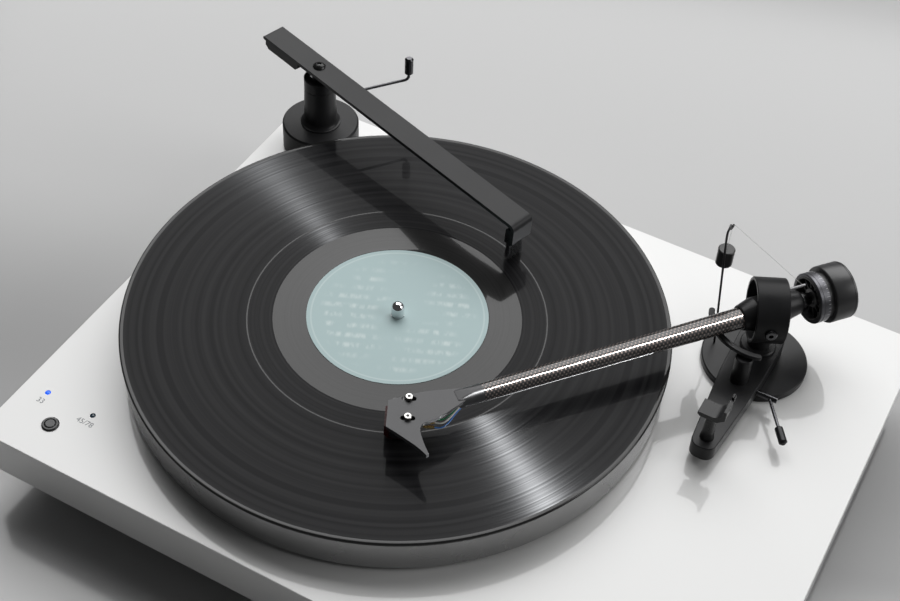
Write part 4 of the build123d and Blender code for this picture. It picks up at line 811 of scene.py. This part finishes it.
dial_look = Look("dial_grey", (0.13, 0.13, 0.14), 0.36, 0.9)
dial_look.vary(60, 0.08, 0.04).turned(RING_CENTRE, REAR_DIR, 0.0002, 0.000004, 0.3)
dial_profile = [(25.2, 12.76), (25.2, 13.8), (25.6, 14.2), (27.0, 14.2), (27.1, 14.05),
                (27.3, 14.05), (27.4, 14.2), (31.0, 14.2), (31.3, 13.9), (31.3, 12.76)]
dial_body = lathe(metres(dial_profile), rear_frame, 160, closed=True)
MARKS, MARK_END = 40, 30.9
scale_marks = []
for k in range(MARKS):
    length = 2.2 if k % 5 == 0 else 1.2
    mark_frame = rear_frame @ Matrix.Rotation(2 * pi * k / MARKS, 4, "Z")
    scale_marks.append(plate(strip(14.0, 14.19, 0.09), mark_frame, (MARK_END - length) * MM,
                             MARK_END * MM))
piece("dial_ring", dial_body, "weight_dial", "counterweight_dial",
      (dial_look,), smooth=30)
mark_ink = Look("dial_ink", (0.6, 0.6, 0.6), 0.5).vary(100, 0.1)
# the marks stand a hair proud of the ring
for mark in scale_marks:
    mark.transform(rear_frame @ Matrix.Diagonal((1.0015, 1.0015, 1, 1)) @ rear_frame.inverted())
piece("dial_marks", joined(*scale_marks), "weight_dial", "counterweight_dial",
      (mark_ink,), smooth=30)

# ---------------------------------------------------------------- brush bristles
BAR_DROP = radians(2.3)  # the bar slopes down towards the record by this much
FLAT_DIR = HINGE_DIR.cross(UP)
BAR_DIR = (FLAT_DIR * cos(BAR_DROP) - UP * sin(BAR_DROP)).normalized()
BAR_UP = BAR_DIR.cross(HINGE_DIR)
BAR_ORIGIN = BROOM + UP * 60.6 * MM
bristle_top = BAR_ORIGIN + BAR_DIR * 168.1 * MM - BAR_UP * 17.5 * MM
bristle_low = RECORD_TOP + 0.3 * MM
# bristles along the hinge's line and across it, and the sides of each
ACROSS, DEEP, SIDES = 34, 8, 5
corner_turns = [2 * pi * k / SIDES for k in range(SIDES)]
random.seed(7)
mesh = bpy.data.meshes.new("bristles")
bm = bmesh.new()
for i in range(ACROSS):
    for j in range(DEEP):
        u = (i + 0.5) / ACROSS - 0.5 + random.uniform(-0.010, 0.010)
        v = (j + 0.5) / DEEP - 0.5 + random.uniform(-0.04, 0.04)
        root = bristle_top + HINGE_DIR * u * 10.2 * MM + FLAT_DIR * v * 2.3 * MM + BAR_UP * 0.4 * MM
        foot = (bristle_top + HINGE_DIR * (u * 11.6 + random.uniform(-0.35, 0.35)) * MM
                + FLAT_DIR * (v * 3.3 + random.uniform(-0.3, 0.3)) * MM)
        foot.z = bristle_low + random.uniform(0, 0.5) * MM
        middle = (root + foot) / 2 + Vector((random.uniform(-0.15, 0.15),
                                             random.uniform(-0.15, 0.15), 0)) * MM
        rows = []
        for point, r in ((root, 0.13), (middle, 0.12), (foot, 0.05)):
            rows.append([bm.verts.new(point + (HINGE_DIR * cos(a) + FLAT_DIR * sin(a)) * r * MM)
                         for a in corner_turns])
        for a, b in zip(rows, rows[1:]):
            for k in range(SIDES):
                n = (k + 1) % SIDES
                bm.faces.new((a[k], a[n], b[n], b[k]))
bmesh.ops.recalc_face_normals(bm, faces=bm.faces)
bm.to_mesh(mesh)
bm.free()
fibre = Look("carbon_fibre_bristle", (0.015, 0.015, 0.016), 0.3, Specular_IOR_Level=0.6)
fibre.vary(900, 0.3)
piece("bristle_strands", mesh, "broom_arm", "brush_bristles", (fibre,), smooth=80)

# ---------------------------------------------------------------- anti-skating wire and thread
def path_tube(points, radius, sides=6):
    """Plain tube through the points, with a ring of sides vertices at each."""
    tube = bpy.data.meshes.new("thread")
    bm = bmesh.new()
    rows = []
    for k, point in enumerate(points):
        before, after = points[max(0, k - 1)], points[min(len(points) - 1, k + 1)]
        turn = frame_of(point, after - before)
        rows.append([bm.verts.new(turn @ Vector((radius * cos(2 * pi * s / sides),
                                                 radius * sin(2 * pi * s / sides), 0)))
                     for s in range(sides)])
    for a, b in zip(rows, rows[1:]):
        for s in range(sides):
            n = (s + 1) % sides
            bm.faces.new((a[s], a[n], b[n], b[s]))
    bm.to_mesh(tube)
    bm.free()
    return tube


EYE = Vector((104.964, 101.0, 140.3)) * MM  # middle of the wire's hook
BOB_TOP = Vector((104.964, 101.0, 123.8)) * MM
THREAD_R = 0.09 * MM
thread_end = RING_CENTRE + REAR_DIR * 18.5 * MM + UP * 13.55 * MM
to_arm = (Vector((thread_end.x, thread_end.y, 0)) - Vector((EYE.x, EYE.y, 0))).normalized()
over_eye = EYE + to_arm * 1.3 * MM + UP * 1.25 * MM
nylon = Look("nylon_thread", (0.75, 0.75, 0.74), 0.4).vary(400, 0.1, 0.05)


def crossing(name, points):
    """Thread laid between two bodies, as one fixed mesh."""
    item = bpy.data.objects.new(name, path_tube(points, THREAD_R))
    bpy.context.collection.objects.link(item)
    item.data.materials.append(nylon.material)
    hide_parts("antiskate_thread")
    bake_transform(item)


LONG_STEPS, SHORT_STEPS = 16, 6
long_run = [over_eye.lerp(thread_end, k / LONG_STEPS) for k in range(LONG_STEPS + 1)]
crossing("thread_to_arm", long_run)
below_eye = EYE + to_arm * 0.3 * MM + UP * 0.9 * MM
short_run = [BOB_TOP.lerp(below_eye, k / SHORT_STEPS) for k in range(SHORT_STEPS + 1)]
short_run.append(over_eye)
crossing("thread_to_weight", short_run)

# wire that leans up from the base and curls into a small hook at its end
steel_wire = Look("wire_steel", (0.06, 0.06, 0.062), 0.3, 0.8).vary(150, 0.15).grain(2600, 0.000008)
wire_foot = Vector((111.764, 95.1, 58.4)) * MM
wire_bend = Vector((104.3, 95.5, 139.0)) * MM
HOOK_ACROSS, HOOK_UP = 1.35, 1.15  # half the width and height of the hook's curl
hook = [wire_foot, wire_foot.lerp(wire_bend, 0.4), wire_foot.lerp(wire_bend, 0.8), wire_bend]
hook.append(EYE + Vector((-0.5, -2.6, 0.6)) * MM)
for turn in range(-90, 250, 34):
    hook.append(EYE + Vector((-0.5 + 0.9 * turn / 240, HOOK_ACROSS * cos(radians(turn + 180)),
                              HOOK_UP * sin(radians(turn + 180)) - 0.4)) * MM)
piece("hooked_wire", strand(hook, 0.62 * MM, 12), "deck", "antiskate_wire",
      (steel_wire,), smooth=60)

# ---------------------------------------------------------------- speed figures on the plinth
PLINTH_X = 6.364  # the plinth's middle in x, in mm
INK_THICK, INK_LIFT, FIGURE_SIZE = 0.01 * MM, 0.012 * MM, 4.6 * MM
ink = Look("figure_ink", (0.16, 0.17, 0.18), 0.4).vary(300, 0.1)


def figures(name, text, x, y):
    """Printed figures, flat on the plinth's top, at a place in mm from its middle."""
    curve = bpy.data.curves.new(name, "FONT")
    curve.body, curve.size, curve.extrude = text, FIGURE_SIZE, INK_THICK
    curve.align_x, curve.align_y = "CENTER", "CENTER"
    holder = bpy.data.objects.new(name, curve)
    holder.location = ((PLINTH_X + x) * MM, y * MM, TOP_Z + INK_LIFT)
    bpy.context.collection.objects.link(holder)
    bpy.context.view_layer.update()
    mesh = bpy.data.meshes.new_from_object(holder)
    mesh.transform(holder.matrix_world)
    bpy.data.objects.remove(holder)
    piece(name, mesh, "deck", None, (ink,), smooth=30)


figures("figures_33", "33", -192.1, -127.6)
figures("figures_45_78", "45/78", -162.7, -127.7)
